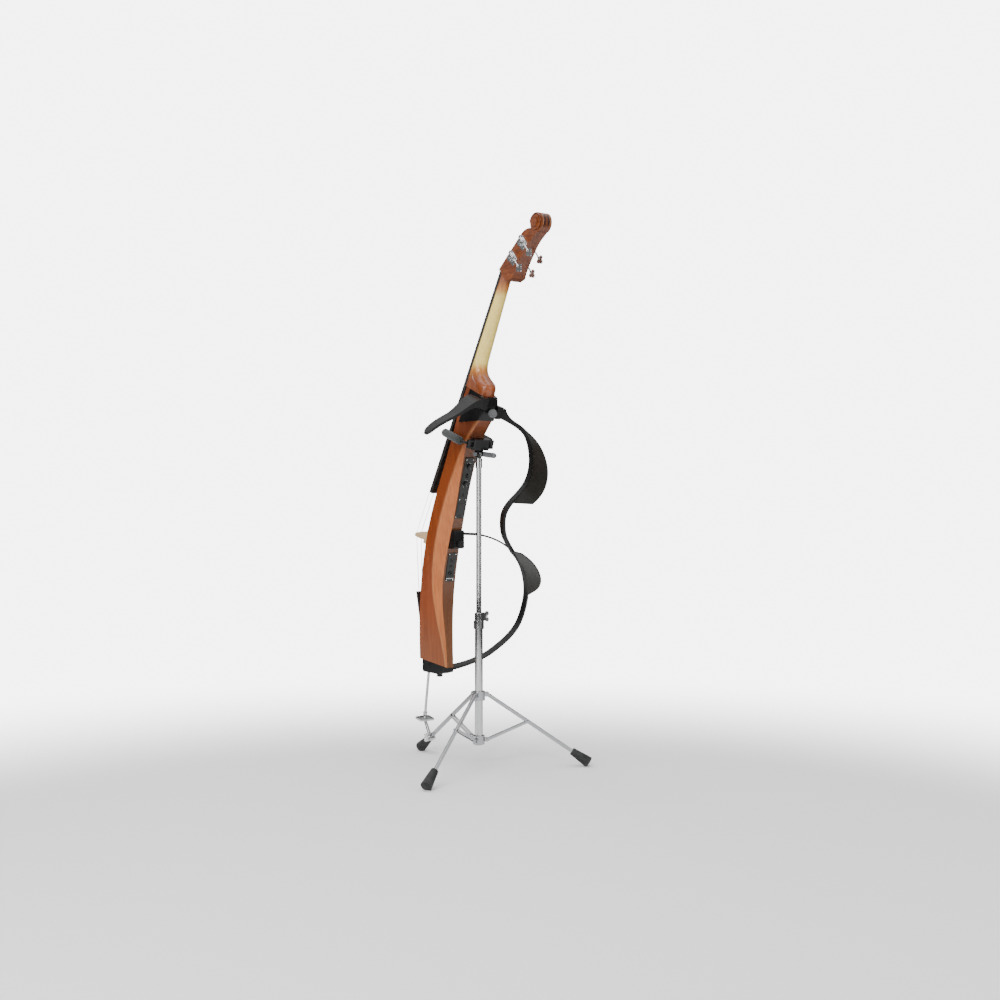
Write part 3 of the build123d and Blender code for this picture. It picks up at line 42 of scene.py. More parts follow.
class Mat:
    """A node material with one Principled shader, built up call by call. Coordinates are object
    coordinates, which are the row frame in metres."""

    def __init__(self, name, rough=0.5, metal=0.0, coat=0.0, coat_rough=0.1, spec=0.5, sheen=0.0):
        self.m = bpy.data.materials.new(name)
        self.m.use_nodes = True
        self.t = self.m.node_tree
        self.s = self.t.nodes["Principled BSDF"]
        self.s.inputs["Roughness"].default_value = rough
        self.s.inputs["Metallic"].default_value = metal
        self.s.inputs["Coat Weight"].default_value = coat
        self.s.inputs["Coat Roughness"].default_value = coat_rough
        self.s.inputs["Specular IOR Level"].default_value = spec
        self.s.inputs["Sheen Weight"].default_value = sheen
        self.tc = self.t.nodes.new("ShaderNodeTexCoord")
        self.heights = []

    def link(self, a, b):
        self.t.links.new(a, b)

    def mapped(self, scale=(1, 1, 1), turn=(0, 0, 0), shift=(0, 0, 0)):
        n = self.t.nodes.new("ShaderNodeMapping")
        n.inputs["Scale"].default_value = scale
        n.inputs["Rotation"].default_value = [math.radians(v) for v in turn]
        n.inputs["Location"].default_value = shift
        self.link(self.tc.outputs["Object"], n.inputs["Vector"])
        return n.outputs["Vector"]

    def noise(self, vector, scale=1.0, detail=4.0, rough=0.5, distortion=0.0):
        n = self.t.nodes.new("ShaderNodeTexNoise")
        n.inputs["Scale"].default_value = scale
        n.inputs["Detail"].default_value = detail
        n.inputs["Roughness"].default_value = rough
        n.inputs["Distortion"].default_value = distortion
        self.link(vector, n.inputs["Vector"])
        return n.outputs["Fac"]

    def wave(self, vector, scale=1.0, distortion=2.0, detail=2.0, axis="X"):
        n = self.t.nodes.new("ShaderNodeTexWave")
        n.bands_direction = axis
        n.inputs["Scale"].default_value = scale
        n.inputs["Distortion"].default_value = distortion
        n.inputs["Detail"].default_value = detail
        n.inputs["Detail Scale"].default_value = 1.5
        self.link(vector, n.inputs["Vector"])
        return n.outputs["Fac"]

    def cells(self, vector, scale=1.0):
        n = self.t.nodes.new("ShaderNodeTexVoronoi")
        n.inputs["Scale"].default_value = scale
        self.link(vector, n.inputs["Vector"])
        return n.outputs["Distance"]

    def ramp(self, value, *stops):
        n = self.t.nodes.new("ShaderNodeValToRGB")
        e = n.color_ramp.elements
        while len(e) < len(stops):
            e.new(0.5)
        for item, (pos, colour) in zip(e, stops):
            item.position = pos
            item.color = (*colour, 1.0) if len(colour) == 3 else colour
        self.link(value, n.inputs["Fac"])
        return n.outputs["Color"]

    def band(self, value, lo, hi, out_lo=0.0, out_hi=1.0):
        n = self.t.nodes.new("ShaderNodeMapRange")
        n.interpolation_type = "SMOOTHSTEP"
        for key, v in (("From Min", lo), ("From Max", hi), ("To Min", out_lo), ("To Max", out_hi)):
            n.inputs[key].default_value = v
        self.link(value, n.inputs["Value"])
        return n.outputs["Result"]

    def math(self, op, a, b=None):
        n = self.t.nodes.new("ShaderNodeMath")
        n.operation = op
        for i, v in enumerate((a, b)):
            if v is None:
                continue
            if isinstance(v, (int, float)):
                n.inputs[i].default_value = v
            else:
                self.link(v, n.inputs[i])
        return n.outputs[0]

    def mix(self, fac, a, b, blend="MIX"):
        n = self.t.nodes.new("ShaderNodeMix")
        n.data_type = "RGBA"
        n.blend_type = blend
        n.clamp_factor = True
        sockets = [s for s in n.inputs if s.type == "RGBA"]
        if isinstance(fac, (int, float)):
            n.inputs[0].default_value = fac
        else:
            self.link(fac, n.inputs[0])
        for s, v in zip(sockets, (a, b)):
            if isinstance(v, tuple):
                s.default_value = (*v, 1.0)
            else:
                self.link(v, s)
        return [s for s in n.outputs if s.type == "RGBA"][0]

    def part(self, name, axis):
        """One axis of a texture coordinate, such as the height or the way a face looks."""
        n = self.t.nodes.new("ShaderNodeSeparateXYZ")
        self.link(self.tc.outputs[name], n.inputs[0])
        return n.outputs[axis]

    def colour(self, value):
        if isinstance(value, tuple):
            self.s.inputs["Base Color"].default_value = (*value, 1.0)
        else:
            self.link(value, self.s.inputs["Base Color"])
        return self

    def roughness(self, value):
        self.link(value, self.s.inputs["Roughness"])
        return self

    def bump(self, height, strength=0.2, distance=0.0005):
        n = self.t.nodes.new("ShaderNodeBump")
        n.inputs["Strength"].default_value = strength
        n.inputs["Distance"].default_value = distance
        self.link(height, n.inputs["Height"])
        if self.heights:
            self.link(self.heights[-1], n.inputs["Normal"])
        self.heights.append(n.outputs["Normal"])
        if self.s.inputs["Normal"].links:
            self.t.links.remove(self.s.inputs["Normal"].links[0])
        self.link(n.outputs["Normal"], self.s.inputs["Normal"])
        return self


def paint(material, *names):
    for name in names:
        data = NODES[name].data
        if data.materials:
            for i in range(len(data.materials)):
                data.materials[i] = material.m
        else:
            data.materials.append(material.m)


# ---------------------------------------------------------------- woods


def grain(m, lean=0.0, fine=1.0):
    """Long fibres along the height, leaning by lean degrees about X, with broader streaks."""
    vec = m.mapped((150 * fine, 150 * fine, 4.5), (lean, 0, 0))
    fibres = m.noise(vec, 1.0, 6.0, 0.62, 0.3)
    streaks = m.noise(m.mapped((22, 22, 1.6), (lean, 0, 0), (3.1, 1.7, 0.4)), 1.0, 4.0, 0.55, 0.8)
    return fibres, streaks


# height, half-width of the crease and of the flat back, in mm: part.py's body rows
CREASE = [(320, 15.5, 13.4), (382, 19.0, 13.8), (444, 26.0, 15.8), (506, 33.5, 19.8),
          (568, 40.2, 23.9), (630, 45.5, 26.3), (692, 49.1, 26.5), (754, 50.9, 25.2),
          (816, 51.1, 23.3), (878, 49.7, 22.0), (940, 46.8, 22.0), (1002, 42.8, 23.5),
          (1064, 38.3, 25.8), (1136, 32.9, 28.2), (1172, 31.0, 28.4), (1204, 29.0, 27.0),
          (1236, 27.4, 25.0), (1272, 25.9, 23.2), (1320, 25.2, 21.2)]
# Y of the flat back at the first of those heights
BACK_Y = [-186.2, -188.6, -193.9, -199.3, -201.6, -197.8, -186.6, -170.0, -150.0, -129.0, -108.8,
          -89.2, -67.5, -36.0]
# a ramp holds 0 to 1: its positions are in metres above the foot, its values in units of 60 mm
BODY_FOOT, RAMP_SPAN, RAMP_UNIT = 320, 1000.0, 60.0


def body_wood():
    m = Mat("stained_body", rough=0.34, coat=0.22, coat_rough=0.12, spec=0.4)
    fibres, streaks = grain(m, 12)
    z = m.part("Object", "Z")
    x = m.math("ABSOLUTE", m.part("Object", "X"))
    up = m.band(z, BODY_FOOT / 1000, (BODY_FOOT + RAMP_SPAN) / 1000)
    up.node.interpolation_type = "LINEAR"
    edge = []
    for column in (1, 2):
        stops = [((row[0] - BODY_FOOT) / RAMP_SPAN, (row[column] / RAMP_UNIT,) * 3) for row in CREASE]
        edge.append(m.ramp(up, *stops))
    crease, back = (m.math("MULTIPLY", e, RAMP_UNIT / 1000) for e in edge)
    past_crease = m.math("SUBTRACT", crease, x)
    past_back = m.math("SUBTRACT", back, x)
    flank = m.mix(streaks, (0.175, 0.034, 0.006), (0.28, 0.061, 0.011))
    facet = m.mix(streaks, (0.43, 0.122, 0.032), (0.56, 0.180, 0.052))
    spine = m.mix(streaks, (0.095, 0.034, 0.013), (0.15, 0.058, 0.023))
    rear = m.band(m.part("Normal", "Y"), -0.05, 0.12)
    on_facet = m.math("MULTIPLY", m.math("MULTIPLY", m.band(past_crease, -0.0006, 0.0008), rear),
                      m.band(z, 1.16, 1.04, 0.25, 1.0))
    base = m.mix(on_facet, flank, facet)
    base = m.mix(m.math("MULTIPLY", m.band(past_back, -0.0006, 0.0008), rear), base, spine)
    # the stain is browner low down and darkens into a burst at the top
    base = m.mix(m.band(z, 0.60, 0.38, 0.0, 0.40), base, (0.205, 0.078, 0.026))
    base = m.mix(m.band(z, 1.08, 1.20, 0.0, 0.60), base, (0.20, 0.045, 0.012))
    base = m.mix(m.band(z, 1.22, 1.30, 0.0, 0.35), base, (0.09, 0.022, 0.008))
    # painted highlight: a lighter line along the crease, where the lacquer catches the light
    painted_crease_highlight = m.band(m.math("ABSOLUTE", m.math("ADD", past_crease, 0.0004)), 0.0020, 0.0002, 0.0, 0.30)
    base = m.mix(m.math("MULTIPLY", painted_crease_highlight, rear), base, (0.72, 0.36, 0.16))
    dark = m.mix(m.band(fibres, 0.36, 0.60), (0.84, 0.78, 0.73), (1.03, 1.01, 1.0))
    base = m.mix(1.0, base, dark, "MULTIPLY")
    m.colour(base)
    m.roughness(m.band(streaks, 0.3, 0.7, 0.29, 0.40))
    m.bump(fibres, 0.05, 0.0004)
    return m


def neck_wood():
    m = Mat("amber_neck", rough=0.32, coat=0.25, coat_rough=0.12)
    fibres, streaks = grain(m, 29)
    flame = m.wave(m.mapped((1, 1, 1), (29, 0, 0)), 22.0, 3.5, 2.0, "Z")
    light = m.mix(streaks, (1.0, 0.72, 0.14), (1.0, 0.80, 0.22))
    light = m.mix(m.math("MULTIPLY", flame, 0.25), light, (1.0, 0.84, 0.34))
    z = m.part("Object", "Z")
    stain = m.mix(streaks, (0.20, 0.046, 0.011), (0.34, 0.086, 0.020))
    low = m.band(z, 1.445, 1.355)
    high = m.band(z, 1.625, 1.715)
    amount = m.math("MAXIMUM", low, high)
    # an orange halo between the amber and the brown
    halo = m.mix(m.band(amount, 0.0, 0.5), light, (0.60, 0.25, 0.055))
    base = m.mix(m.band(amount, 0.35, 1.0), halo, stain)
    dark = m.mix(m.band(fibres, 0.36, 0.60), (0.72, 0.64, 0.56), (1.04, 1.02, 1.0))
    m.colour(m.mix(m.band(amount, 0.0, 0.6, 0.35, 1.0), base, m.mix(1.0, base, dark, "MULTIPLY")))
    m.bump(fibres, 0.05, 0.0004)
    return m


# distance of the scroll's painted flute shade and painted ridge highlights from its middle
FLUTE_SHADE_X, RIDGE_HIGHLIGHT_X = 0.0075, 0.0140


def head_wood():
    m = Mat("stained_head", rough=0.34, coat=0.2, coat_rough=0.14)
    vec = m.mapped((140, 30, 140), (50, 0, 0))
    fibres = m.noise(vec, 1.0, 6.0, 0.6, 0.4)
    streaks = m.noise(m.mapped((18, 5, 18), (50, 0, 0)), 1.0, 4.0, 0.55, 0.9)
    base = m.mix(streaks, (0.15, 0.034, 0.008), (0.30, 0.082, 0.018))
    side = m.math("ABSOLUTE", m.part("Normal", "X"))
    base = m.mix(m.band(side, 0.5, 0.9, 0.45, 0.0), base, (0.10, 0.026, 0.008))
    # painted shade in the two flutes that run over the scroll, and a painted highlight on the ridges
    x = m.math("ABSOLUTE", m.part("Object", "X"))
    z = m.part("Object", "Z")
    on_scroll = m.math("MULTIPLY", m.band(z, 1.835, 1.850), m.band(side, 0.8, 0.5))
    painted_flute_shade = m.band(m.math("ABSOLUTE", m.math("SUBTRACT", x, FLUTE_SHADE_X)), 0.0046, 0.0030)
    base = m.mix(m.math("MULTIPLY", on_scroll, painted_flute_shade), base, (0.035, 0.009, 0.004))
    # painted highlight on the ridges beside the flutes
    painted_ridge_highlight = m.band(m.math("ABSOLUTE", m.math("SUBTRACT", x, RIDGE_HIGHLIGHT_X)), 0.0022, 0.0006, 0.0, 0.6)
    base = m.mix(m.math("MULTIPLY", on_scroll, painted_ridge_highlight), base, (0.52, 0.24, 0.11))
    shade = m.mix(m.band(fibres, 0.36, 0.62), (0.62, 0.54, 0.48), (1.05, 1.02, 1.0))
    m.colour(m.mix(1.0, base, shade, "MULTIPLY"))
    m.bump(fibres, 0.12, 0.0004)
    return m


def board_wood():
    m = Mat("black_board", rough=0.38, coat=0.12, coat_rough=0.3)
    fibres, streaks = grain(m, 29, 1.6)
    base = m.mix(m.band(fibres, 0.35, 0.65), (0.005, 0.0042, 0.004), (0.017, 0.0135, 0.011))
    base = m.mix(m.math("MULTIPLY", streaks, 0.5), base, (0.022, 0.014, 0.009))
    m.colour(base)
    m.roughness(m.band(fibres, 0.3, 0.7, 0.30, 0.46))
    m.bump(fibres, 0.15, 0.0003)
    return m


def bridge_wood():
    m = Mat("bare_maple", rough=0.5, coat=0.1, coat_rough=0.4)
    vec = m.mapped((12, 160, 160))
    fibres = m.noise(vec, 1.0, 6.0, 0.6, 0.3)
    flecks = m.cells(m.mapped((60, 400, 900)), 1.0)
    base = m.mix(fibres, (0.50, 0.32, 0.155), (0.70, 0.50, 0.28))
    base = m.mix(m.band(flecks, 0.15, 0.02, 0.0, 0.5), base, (0.38, 0.21, 0.09))
    m.colour(base)
    m.bump(fibres, 0.15, 0.0003)
    return m


# ---------------------------------------------------------------- metals and plastics


def chrome(name, base=(0.58, 0.585, 0.59), rough=0.09):
    m = Mat(name, rough=rough, metal=1.0)
    cloud = m.noise(m.mapped((14, 14, 9)), 1.0, 3.0, 0.5, 0.4)
    wipe = m.noise(m.mapped((420, 420, 26), (8, 5, 0)), 1.0, 3.0, 0.6)
    lo = tuple(v * 0.86 for v in base)
    m.colour(m.mix(cloud, lo, base))
    wiped = m.band(wipe, 0.3, 0.8, 0.0, 0.05)
    clouded = m.band(cloud, 0.3, 0.7, rough - 0.03, rough + 0.04)
    m.roughness(m.math("ADD", wiped, clouded))
    m.bump(cloud, 0.015, 0.0006)
    return m


def cast(name, base, rough, grainy, scale, coat=0.0, spec=0.5):
    """Moulded plastic or powder-coated metal: fine orange-peel, faint wear in patches."""
    m = Mat(name, rough=rough, coat=coat, coat_rough=0.2, spec=spec)
    peel = m.noise(m.mapped((scale, scale, scale)), 1.0, 2.0, 0.5)
    patches = m.noise(m.mapped((16, 16, 11)), 1.0, 4.0, 0.6, 0.6)
    lo = tuple(v * 0.72 for v in base)
    hi = tuple(v * 1.30 for v in base)
    m.colour(m.mix(patches, lo, hi))
    m.roughness(m.band(patches, 0.3, 0.7, rough - 0.05, rough + 0.07))
    m.bump(peel, grainy, 0.00025)
    return m


def rubber():
    m = Mat("foot_rubber", rough=0.72, spec=0.35)
    dust = m.noise(m.mapped((35, 35, 35)), 1.0, 5.0, 0.65)
    skin = m.noise(m.mapped((700, 700, 700)), 1.0, 2.0, 0.5)
    z = m.part("Object", "Z")
    base = m.mix(m.band(dust, 0.35, 0.75), (0.012, 0.013, 0.0135), (0.034, 0.035, 0.035))
    base = m.mix(m.band(z, 0.016, 0.0, 0.0, 0.5), base, (0.07, 0.068, 0.062))
    m.colour(base)
    m.bump(skin, 0.3, 0.0004)
    return m


def foam():
    m = Mat("closed_foam", rough=0.86, spec=0.25, sheen=0.25)
    pores = m.cells(m.mapped((620, 620, 620)), 1.0)
    soft = m.noise(m.mapped((60, 60, 60)), 1.0, 4.0, 0.6)
    base = m.mix(soft, (0.028, 0.034, 0.033), (0.060, 0.069, 0.067))
    base = m.mix(m.band(pores, 0.35, 0.05, 0.0, 0.6), base, (0.014, 0.017, 0.016))
    m.colour(base)
    m.bump(pores, 0.55, 0.0006)
    m.bump(soft, 0.3, 0.0015)
    return m


def wound(name, pitch, lo, hi, metal=1.0, rough=0.34):
    """Round winding along a string: fine bands across its length."""
    m = Mat(name, rough=rough, metal=metal)
    turns = m.wave(m.mapped((1, 1, 1), (22, 0, 0)), pitch, 0.4, 1.0, "Z")
    worn = m.noise(m.mapped((90, 90, 12)), 1.0, 3.0, 0.5)
    m.colour(m.mix(m.math("MULTIPLY", turns, worn), lo, hi))
    m.bump(turns, 0.35, 0.0002)
    return m


def enamel():
    m = Mat("white_mark", rough=0.42)
    speck = m.noise(m.mapped((240, 240, 240)), 1.0, 3.0, 0.6)
    m.colour(m.mix(speck, (0.70, 0.70, 0.67), (0.86, 0.86, 0.83)))
    m.bump(speck, 0.08, 0.0002)
    return m


def lens():
    m = Mat("lamp_lens", rough=0.12, coat=0.6)
    swirl = m.noise(m.mapped((500, 500, 500)), 1.0, 2.0, 0.5)
    m.colour(m.mix(swirl, (0.30, 0.015, 0.012), (0.50, 0.035, 0.022)))
    return m


def bone():
    m = Mat("nut_bone", rough=0.4, coat=0.2)
    fleck = m.noise(m.mapped((90, 90, 500)), 1.0, 4.0, 0.6)
    m.colour(m.mix(fleck, (0.62, 0.57, 0.45), (0.80, 0.77, 0.67)))
    m.bump(fleck, 0.1, 0.0002)
    return m


def sleeve_print():
    m = Mat("battery_sleeve", rough=0.35, metal=0.5)
    scratch = m.noise(m.mapped((400, 30, 60)), 1.0, 4.0, 0.6)
    z = m.part("Object", "Z")
    base = m.mix(m.band(z, 0.918, 0.9185), (0.035, 0.035, 0.037), (0.42, 0.24, 0.06))
    m.colour(m.mix(m.band(scratch, 0.5, 0.8, 0.0, 0.3), base, (0.45, 0.42, 0.38)))
    m.bump(scratch, 0.1, 0.0002)
    return m


BODY = body_wood()
NECK = neck_wood()
HEAD = head_wood()
BOARD = board_wood()
CHROME = chrome("bright_tube")
CHROME_FINE = chrome("bright_small", (0.80, 0.80, 0.81), 0.13)
CHROME_LEG = chrome("bright_leg", (0.42, 0.425, 0.44), 0.12)
STEEL = wound("wound_steel", 520.0, (0.20, 0.20, 0.21), (0.62, 0.62, 0.63))
BAND = cast("frame_plastic", (0.0065, 0.007, 0.0068), 0.30, 0.10, 1100, coat=0.05, spec=0.32)
SHIELD = cast("shield_plastic", (0.014, 0.014, 0.012), 0.34, 0.12, 1100, coat=0.05, spec=0.34)
PAINT = cast("black_paint", (0.0035, 0.0035, 0.004), 0.30, 0.08, 800, coat=0.05, spec=0.34)
PANEL = cast("panel_plastic", (0.014, 0.015, 0.0145), 0.36, 0.14, 1300)
KNOB = cast("knob_plastic", (0.008, 0.008, 0.0085), 0.36, 0.2, 1500)
GREY = cast("grey_plastic", (0.115, 0.118, 0.124), 0.36, 0.16, 1100)
RUBBER = rubber()
FOAM = foam()

paint(BODY, "body")
paint(NECK, "neck")
paint(HEAD, "pegbox")
paint(BOARD, "fingerboard", "tailpiece")
paint(bridge_wood(), "bridge")
paint(bone(), "nut")
paint(STEEL, "strings")
paint(CHROME, "lower_tube", "upper_tube", "end_pin", "tilter_base", "pin_holder", "height_clamp")
paint(CHROME_LEG, "leg_front", "leg_right", "leg_left", "brace_front", "brace_right", "brace_left",
      "lower_hub", "upper_hub")
paint(CHROME_FINE, "machine_plates", "height_wing_bolt", "holder_wing_bolt",
      *[f"tuning_key_{k}" for k in "eadg"], *[f"string_roller_{k}" for k in "eadg"])
paint(BAND, "frame_upper_band", "frame_lower_band", "right_arm")
paint(SHIELD, "frame_shields")
paint(PAINT, "top_bracket", "middle_bracket", "bottom_bracket",
      "yoke_arm_left", "yoke_arm_right", "yoke_block")
paint(PANEL, "upper_panel", "lower_panel", "battery_door", "sockets")
paint(KNOB, "middle_thumb_screw", "bottom_thumb_screw",
      "knob_volume", "knob_tone", "slide_switch")
paint(GREY, "tilt_lever", "top_thumb_screw")
paint(RUBBER, "foot_front", "foot_right", "foot_left")
paint(sleeve_print(), "battery")

# ---------------------------------------------------------------- mesh tools


def piece(name, bm, material, body):
    me = bpy.data.meshes.new(name)
    bm.to_mesh(me)
    bm.free()
    me.materials.append(material.m)
    for p in me.polygons:
        p.use_smooth = True
    ob = bpy.data.objects.new(name, me)
    bpy.context.scene.collection.objects.link(ob)
    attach(ob, body)
    return ob


def axes(direction):
    """Two axes square to a direction, and the direction itself at length 1."""
    w = Vector(direction).normalized()
    h = Vector((0, 0, 1))
    if abs(w.dot(h)) > 0.95:
        h = Vector((1, 0, 0))
    u = h.cross(w).normalized()
    return u, w.cross(u), w


def lathe(bm, origin, direction, profile, sides, wobble=None):
    """Turned form: profile is a list of (distance along, radius), wobble a change of radius in parts
    of it, worked out from distance and angle."""
    u, v, w = axes(direction)
    o = Vector(origin)
    rings = []
    for d, r in profile:
        ring = []
        for k in range(sides):
            a = 2 * math.pi * k / sides
            rr = r * (1 + (wobble(d, a) if wobble else 0))
            ring.append(bm.verts.new(o + w * d + u * (rr * math.cos(a)) + v * (rr * math.sin(a))))
        rings.append(ring)
    for a, b in zip(rings, rings[1:]):
        for k in range(sides):
            bm.faces.new((a[k], a[(k + 1) % sides], b[(k + 1) % sides], b[k]))
    bm.faces.new(list(reversed(rings[0])))
    bm.faces.new(rings[-1])
    bm.normal_update()


def tube(bm, points, radii, sides):
    """Round tube along a line of points, each ring square to the line."""
    rings = []
    u = None
    for i, p in enumerate(points):
        a, b = points[max(i - 1, 0)], points[min(i + 1, len(points) - 1)]
        w = (b - a).normalized()
        if u is None:
            u = axes(w)[0]
        u = (u - w * u.dot(w)).normalized()
        v = w.cross(u)
        r = radii[i] if isinstance(radii, list) else radii
        rings.append([bm.verts.new(p + u * (r * math.cos(2 * math.pi * k / sides))
                                   + v * (r * math.sin(2 * math.pi * k / sides))) for k in range(sides)])
    for a, b in zip(rings, rings[1:]):
        for k in range(sides):
            bm.faces.new((a[k], a[(k + 1) % sides], b[(k + 1) % sides], b[k]))
    bm.faces.new(list(reversed(rings[0])))
    bm.faces.new(rings[-1])
    bm.normal_update()


# ---------------------------------------------------------------- foam sleeves of the yoke
TILT = math.radians(19)
FWD = Vector((0, -math.cos(TILT), math.sin(TILT)))
YOKE_AT = Vector((0, 0.008, 1.143))
ARM_X, SLEEVE_START, SLEEVE_LENGTH, SLEEVE_R, SLEEVE_ROUND = 0.063, 0.0302, 0.1136, 0.0148, 0.007
SLEEVE_ROWS = 40


def sleeve_wobble(d, a):
    """Unevenness of soft foam, as a part of the radius."""
    return 0.010 * math.sin(3 * a + 40 * d) * math.sin(d * 55) + 0.004 * math.sin(9 * a - 90 * d)


for side, name, body in ((-1, "left", "left_arm"), (1, "right", "right_yoke_arm")):
    start = YOKE_AT + Vector((side * ARM_X, 0, 0)) + FWD * SLEEVE_START
    rows = []
    for i in range(SLEEVE_ROWS + 1):
        t = i / SLEEVE_ROWS
        d = SLEEVE_LENGTH * t
        edge = min(d, SLEEVE_LENGTH - d)
        r = SLEEVE_R
        if edge < SLEEVE_ROUND:
            r = SLEEVE_R - SLEEVE_ROUND + math.sqrt(max(0.0, SLEEVE_ROUND ** 2 - (SLEEVE_ROUND - edge) ** 2))
        # slightly pinched by handling, just past the middle
        r -= 0.00045 * math.exp(-((t - 0.55) / 0.16) ** 2)
        rows.append((d, r))
    bm = bmesh.new()
    lathe(bm, start, FWD, rows, 48, sleeve_wobble)
    sleeve = piece(f"foam_grip_{name}", bm, FOAM, body)
    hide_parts(f"foam_sleeve_{name}")

# ---------------------------------------------------------------- strings: windings and silk
# in mm, and turned into metres by mm(); the head's and the fingerboard's axes start under the nut,
# at (Y, Z)
PEG_LEAN, HEAD_AT = math.radians(40), (165, 1733)
NECK_LEAN, BOARD_AT = math.radians(29.226), (164, 1733)
ROLLERS = {"e": 50.5, "g": 68.5, "a": 112.5, "d": 136.5}
ROLLER_DEPTH, ROLLER_R = 22, 7.2
COIL_X = {"e": -9.0, "a": -4.0, "d": 4.0, "g": 9.0}
STRING_R = {"e": 1.3, "a": 1.05, "d": 0.85, "g": 0.7}
NUT_X = {"e": -15.0, "a": -5.0, "d": 5.0, "g": 15.0}
BRIDGE_POINT = {"e": (-38.0, -360.0, 823.5), "a": (-13.0, -368.5, 821.0),
                "d": (13.0, -368.5, 821.0), "g": (38.0, -360.0, 823.5)}
TAIL_X = {"e": -24.0, "a": -8.0, "d": 8.0, "g": 24.0}
TAIL_EDGE = (-367.0, 604.0)
TURNS, TURN_STEPS, COIL_WIDTH = 4, 22, 5.2
COIL_R_M, WIRE_R_M = 0.00735, 0.0008
SILK_STEPS = 30
SILK_COLOURS = {"e": ((0.22, 0.03, 0.03), (0.36, 0.07, 0.06)), "a": ((0.03, 0.06, 0.20), (0.06, 0.11, 0.30)),
                "d": ((0.03, 0.12, 0.06), (0.06, 0.20, 0.10)), "g": ((0.30, 0.20, 0.04), (0.44, 0.31, 0.09))}
SILK = {key: wound(f"silk_{key}", 900.0, lo, hi, metal=0.0, rough=0.62)
        for key, (lo, hi) in SILK_COLOURS.items()}


def mm(*v):
    return Vector(v) / 1000.0


def peg_point(q, p, x=0.0):
    """A point q along the head and p behind its front."""
    return mm(x, HEAD_AT[0] + q * math.cos(PEG_LEAN) + p * math.sin(PEG_LEAN),
              HEAD_AT[1] + q * math.sin(PEG_LEAN) - p * math.cos(PEG_LEAN))


def board_point(s, u, x=0.0):
    """A point s down the fingerboard and u behind its axis."""
    return mm(x, BOARD_AT[0] - s * math.sin(NECK_LEAN) + u * math.cos(NECK_LEAN),
              BOARD_AT[1] - s * math.cos(NECK_LEAN) - u * math.sin(NECK_LEAN))


def silk(name, start, end, r, ripple, key):
    """Silk wrap of uneven thickness on a straight stretch of string, thinner at both ends."""
    bm = bmesh.new()
    tube(bm, [start.lerp(end, i / SILK_STEPS) for i in range(SILK_STEPS + 1)],
         [(r + 0.05 * math.sin(i * ripple)) / 1000 * (0.75 if i in (0, SILK_STEPS) else 1)
          for i in range(SILK_STEPS + 1)], 12)
    piece(name, bm, SILK[key], "instrument")


for key, r in STRING_R.items():
    centre = peg_point(ROLLERS[key], ROLLER_DEPTH)
    points = []
    for i in range(TURNS * TURN_STEPS + 1):
        t = i / (TURNS * TURN_STEPS)
        a = 2 * math.pi * TURNS * t - 0.6
        x = COIL_X[key] - COIL_WIDTH / 2 + COIL_WIDTH * t
        points.append(centre + mm(x, 0, 0) + Vector((0, math.cos(a), math.sin(a))) * COIL_R_M)
    bm = bmesh.new()
    tube(bm, points, WIRE_R_M, 8)
    piece(f"string_turns_{key}", bm, STEEL, f"roller_{key}")

    bridge, tail = mm(*BRIDGE_POINT[key]), mm(TAIL_X[key], *TAIL_EDGE)
    silk(f"silk_tail_{key}", tail.lerp(bridge, 0.05), tail.lerp(bridge, 0.62), r + 0.22, 2.1, key)
    nut = board_point(4, -8.2, NUT_X[key])
    on_coil = peg_point(ROLLERS[key], ROLLER_DEPTH - ROLLER_R - r - 0.4, COIL_X[key])
    silk(f"silk_head_{key}", nut.lerp(on_coil, 0.14), nut.lerp(on_coil, 0.86), r + 0.2, 1.9, key)
    # ball ends below the tailpiece's edge
    bm = bmesh.new()
    down = (tail - bridge).normalized()
    lathe(bm, tail + down * 0.001 + Vector((0, -0.0062, 0)), down,
          [(0.0, 0.0012), (0.0004, 0.0022), (0.003, 0.0028), (0.0056, 0.0028), (0.0066, 0.0016)], 20)
    piece(f"ball_end_{key}", bm, CHROME_FINE, "instrument")

# ---------------------------------------------------------------- scroll volutes on the head's ears
SCROLL = peg_point(235, 33)
PEG_U = Vector((0, math.cos(PEG_LEAN), math.sin(PEG_LEAN)))
PEG_V = Vector((0, -math.sin(PEG_LEAN), math.cos(PEG_LEAN)))
VOLUTE_STEPS, VOLUTE_TURN, VOLUTE_R, EYE_R, VOLUTE_WIRE_R = 120, 3.6, 0.0285, 0.0045, 0.0023
for side in (-1, 1):
    points, radii = [], []
    for i in range(VOLUTE_STEPS + 1):
        t = i / VOLUTE_STEPS
        a = math.pi * (0.75 - VOLUTE_TURN * t)
        rad = VOLUTE_R * (1 - t) ** 0.85 + EYE_R
        x = side * (0.0208 + 0.0078 * t)
        points.append(SCROLL + Vector((x, 0, 0)) + PEG_U * (rad * math.cos(a)) + PEG_V * (rad * math.sin(a)))
        radii.append(VOLUTE_WIRE_R * (1 - 0.45 * t) * (0.3 if i == 0 else 1))
    bm = bmesh.new()
    tube(bm, points, radii, 12)
    piece(f"volute_{'left' if side < 0 else 'right'}", bm, HEAD, "instrument")

# ---------------------------------------------------------------- marks, screws and lamp on the back


def back_at(z):
    """Y of the body's flat back at a height, both in mm."""
    rows = [(row[0], y) for row, y in zip(CREASE, BACK_Y)]
    for (z0, y0), (z1, y1) in zip(rows, rows[1:]):
        if z0 <= z <= z1:
            return y0 + (y1 - y0) * (z - z0) / (z1 - z0)
    return rows[-1][1]


def back_frame(z):
    """Point on the back at a height, the way out of it, and the way down along it."""
    slope = (back_at(z + 12) - back_at(z - 12)) / 24.0
    n = Vector((0, 1, -slope)).normalized()
    down = Vector((0, -slope, -1)).normalized()
    return mm(0, back_at(z), z), n, down


ENAMEL = enamel()
PANEL_T = 0.003
PLAIN_SCREW, DOOR_SCREW = (13.6, 0.0022), (16.4, 0.0018)
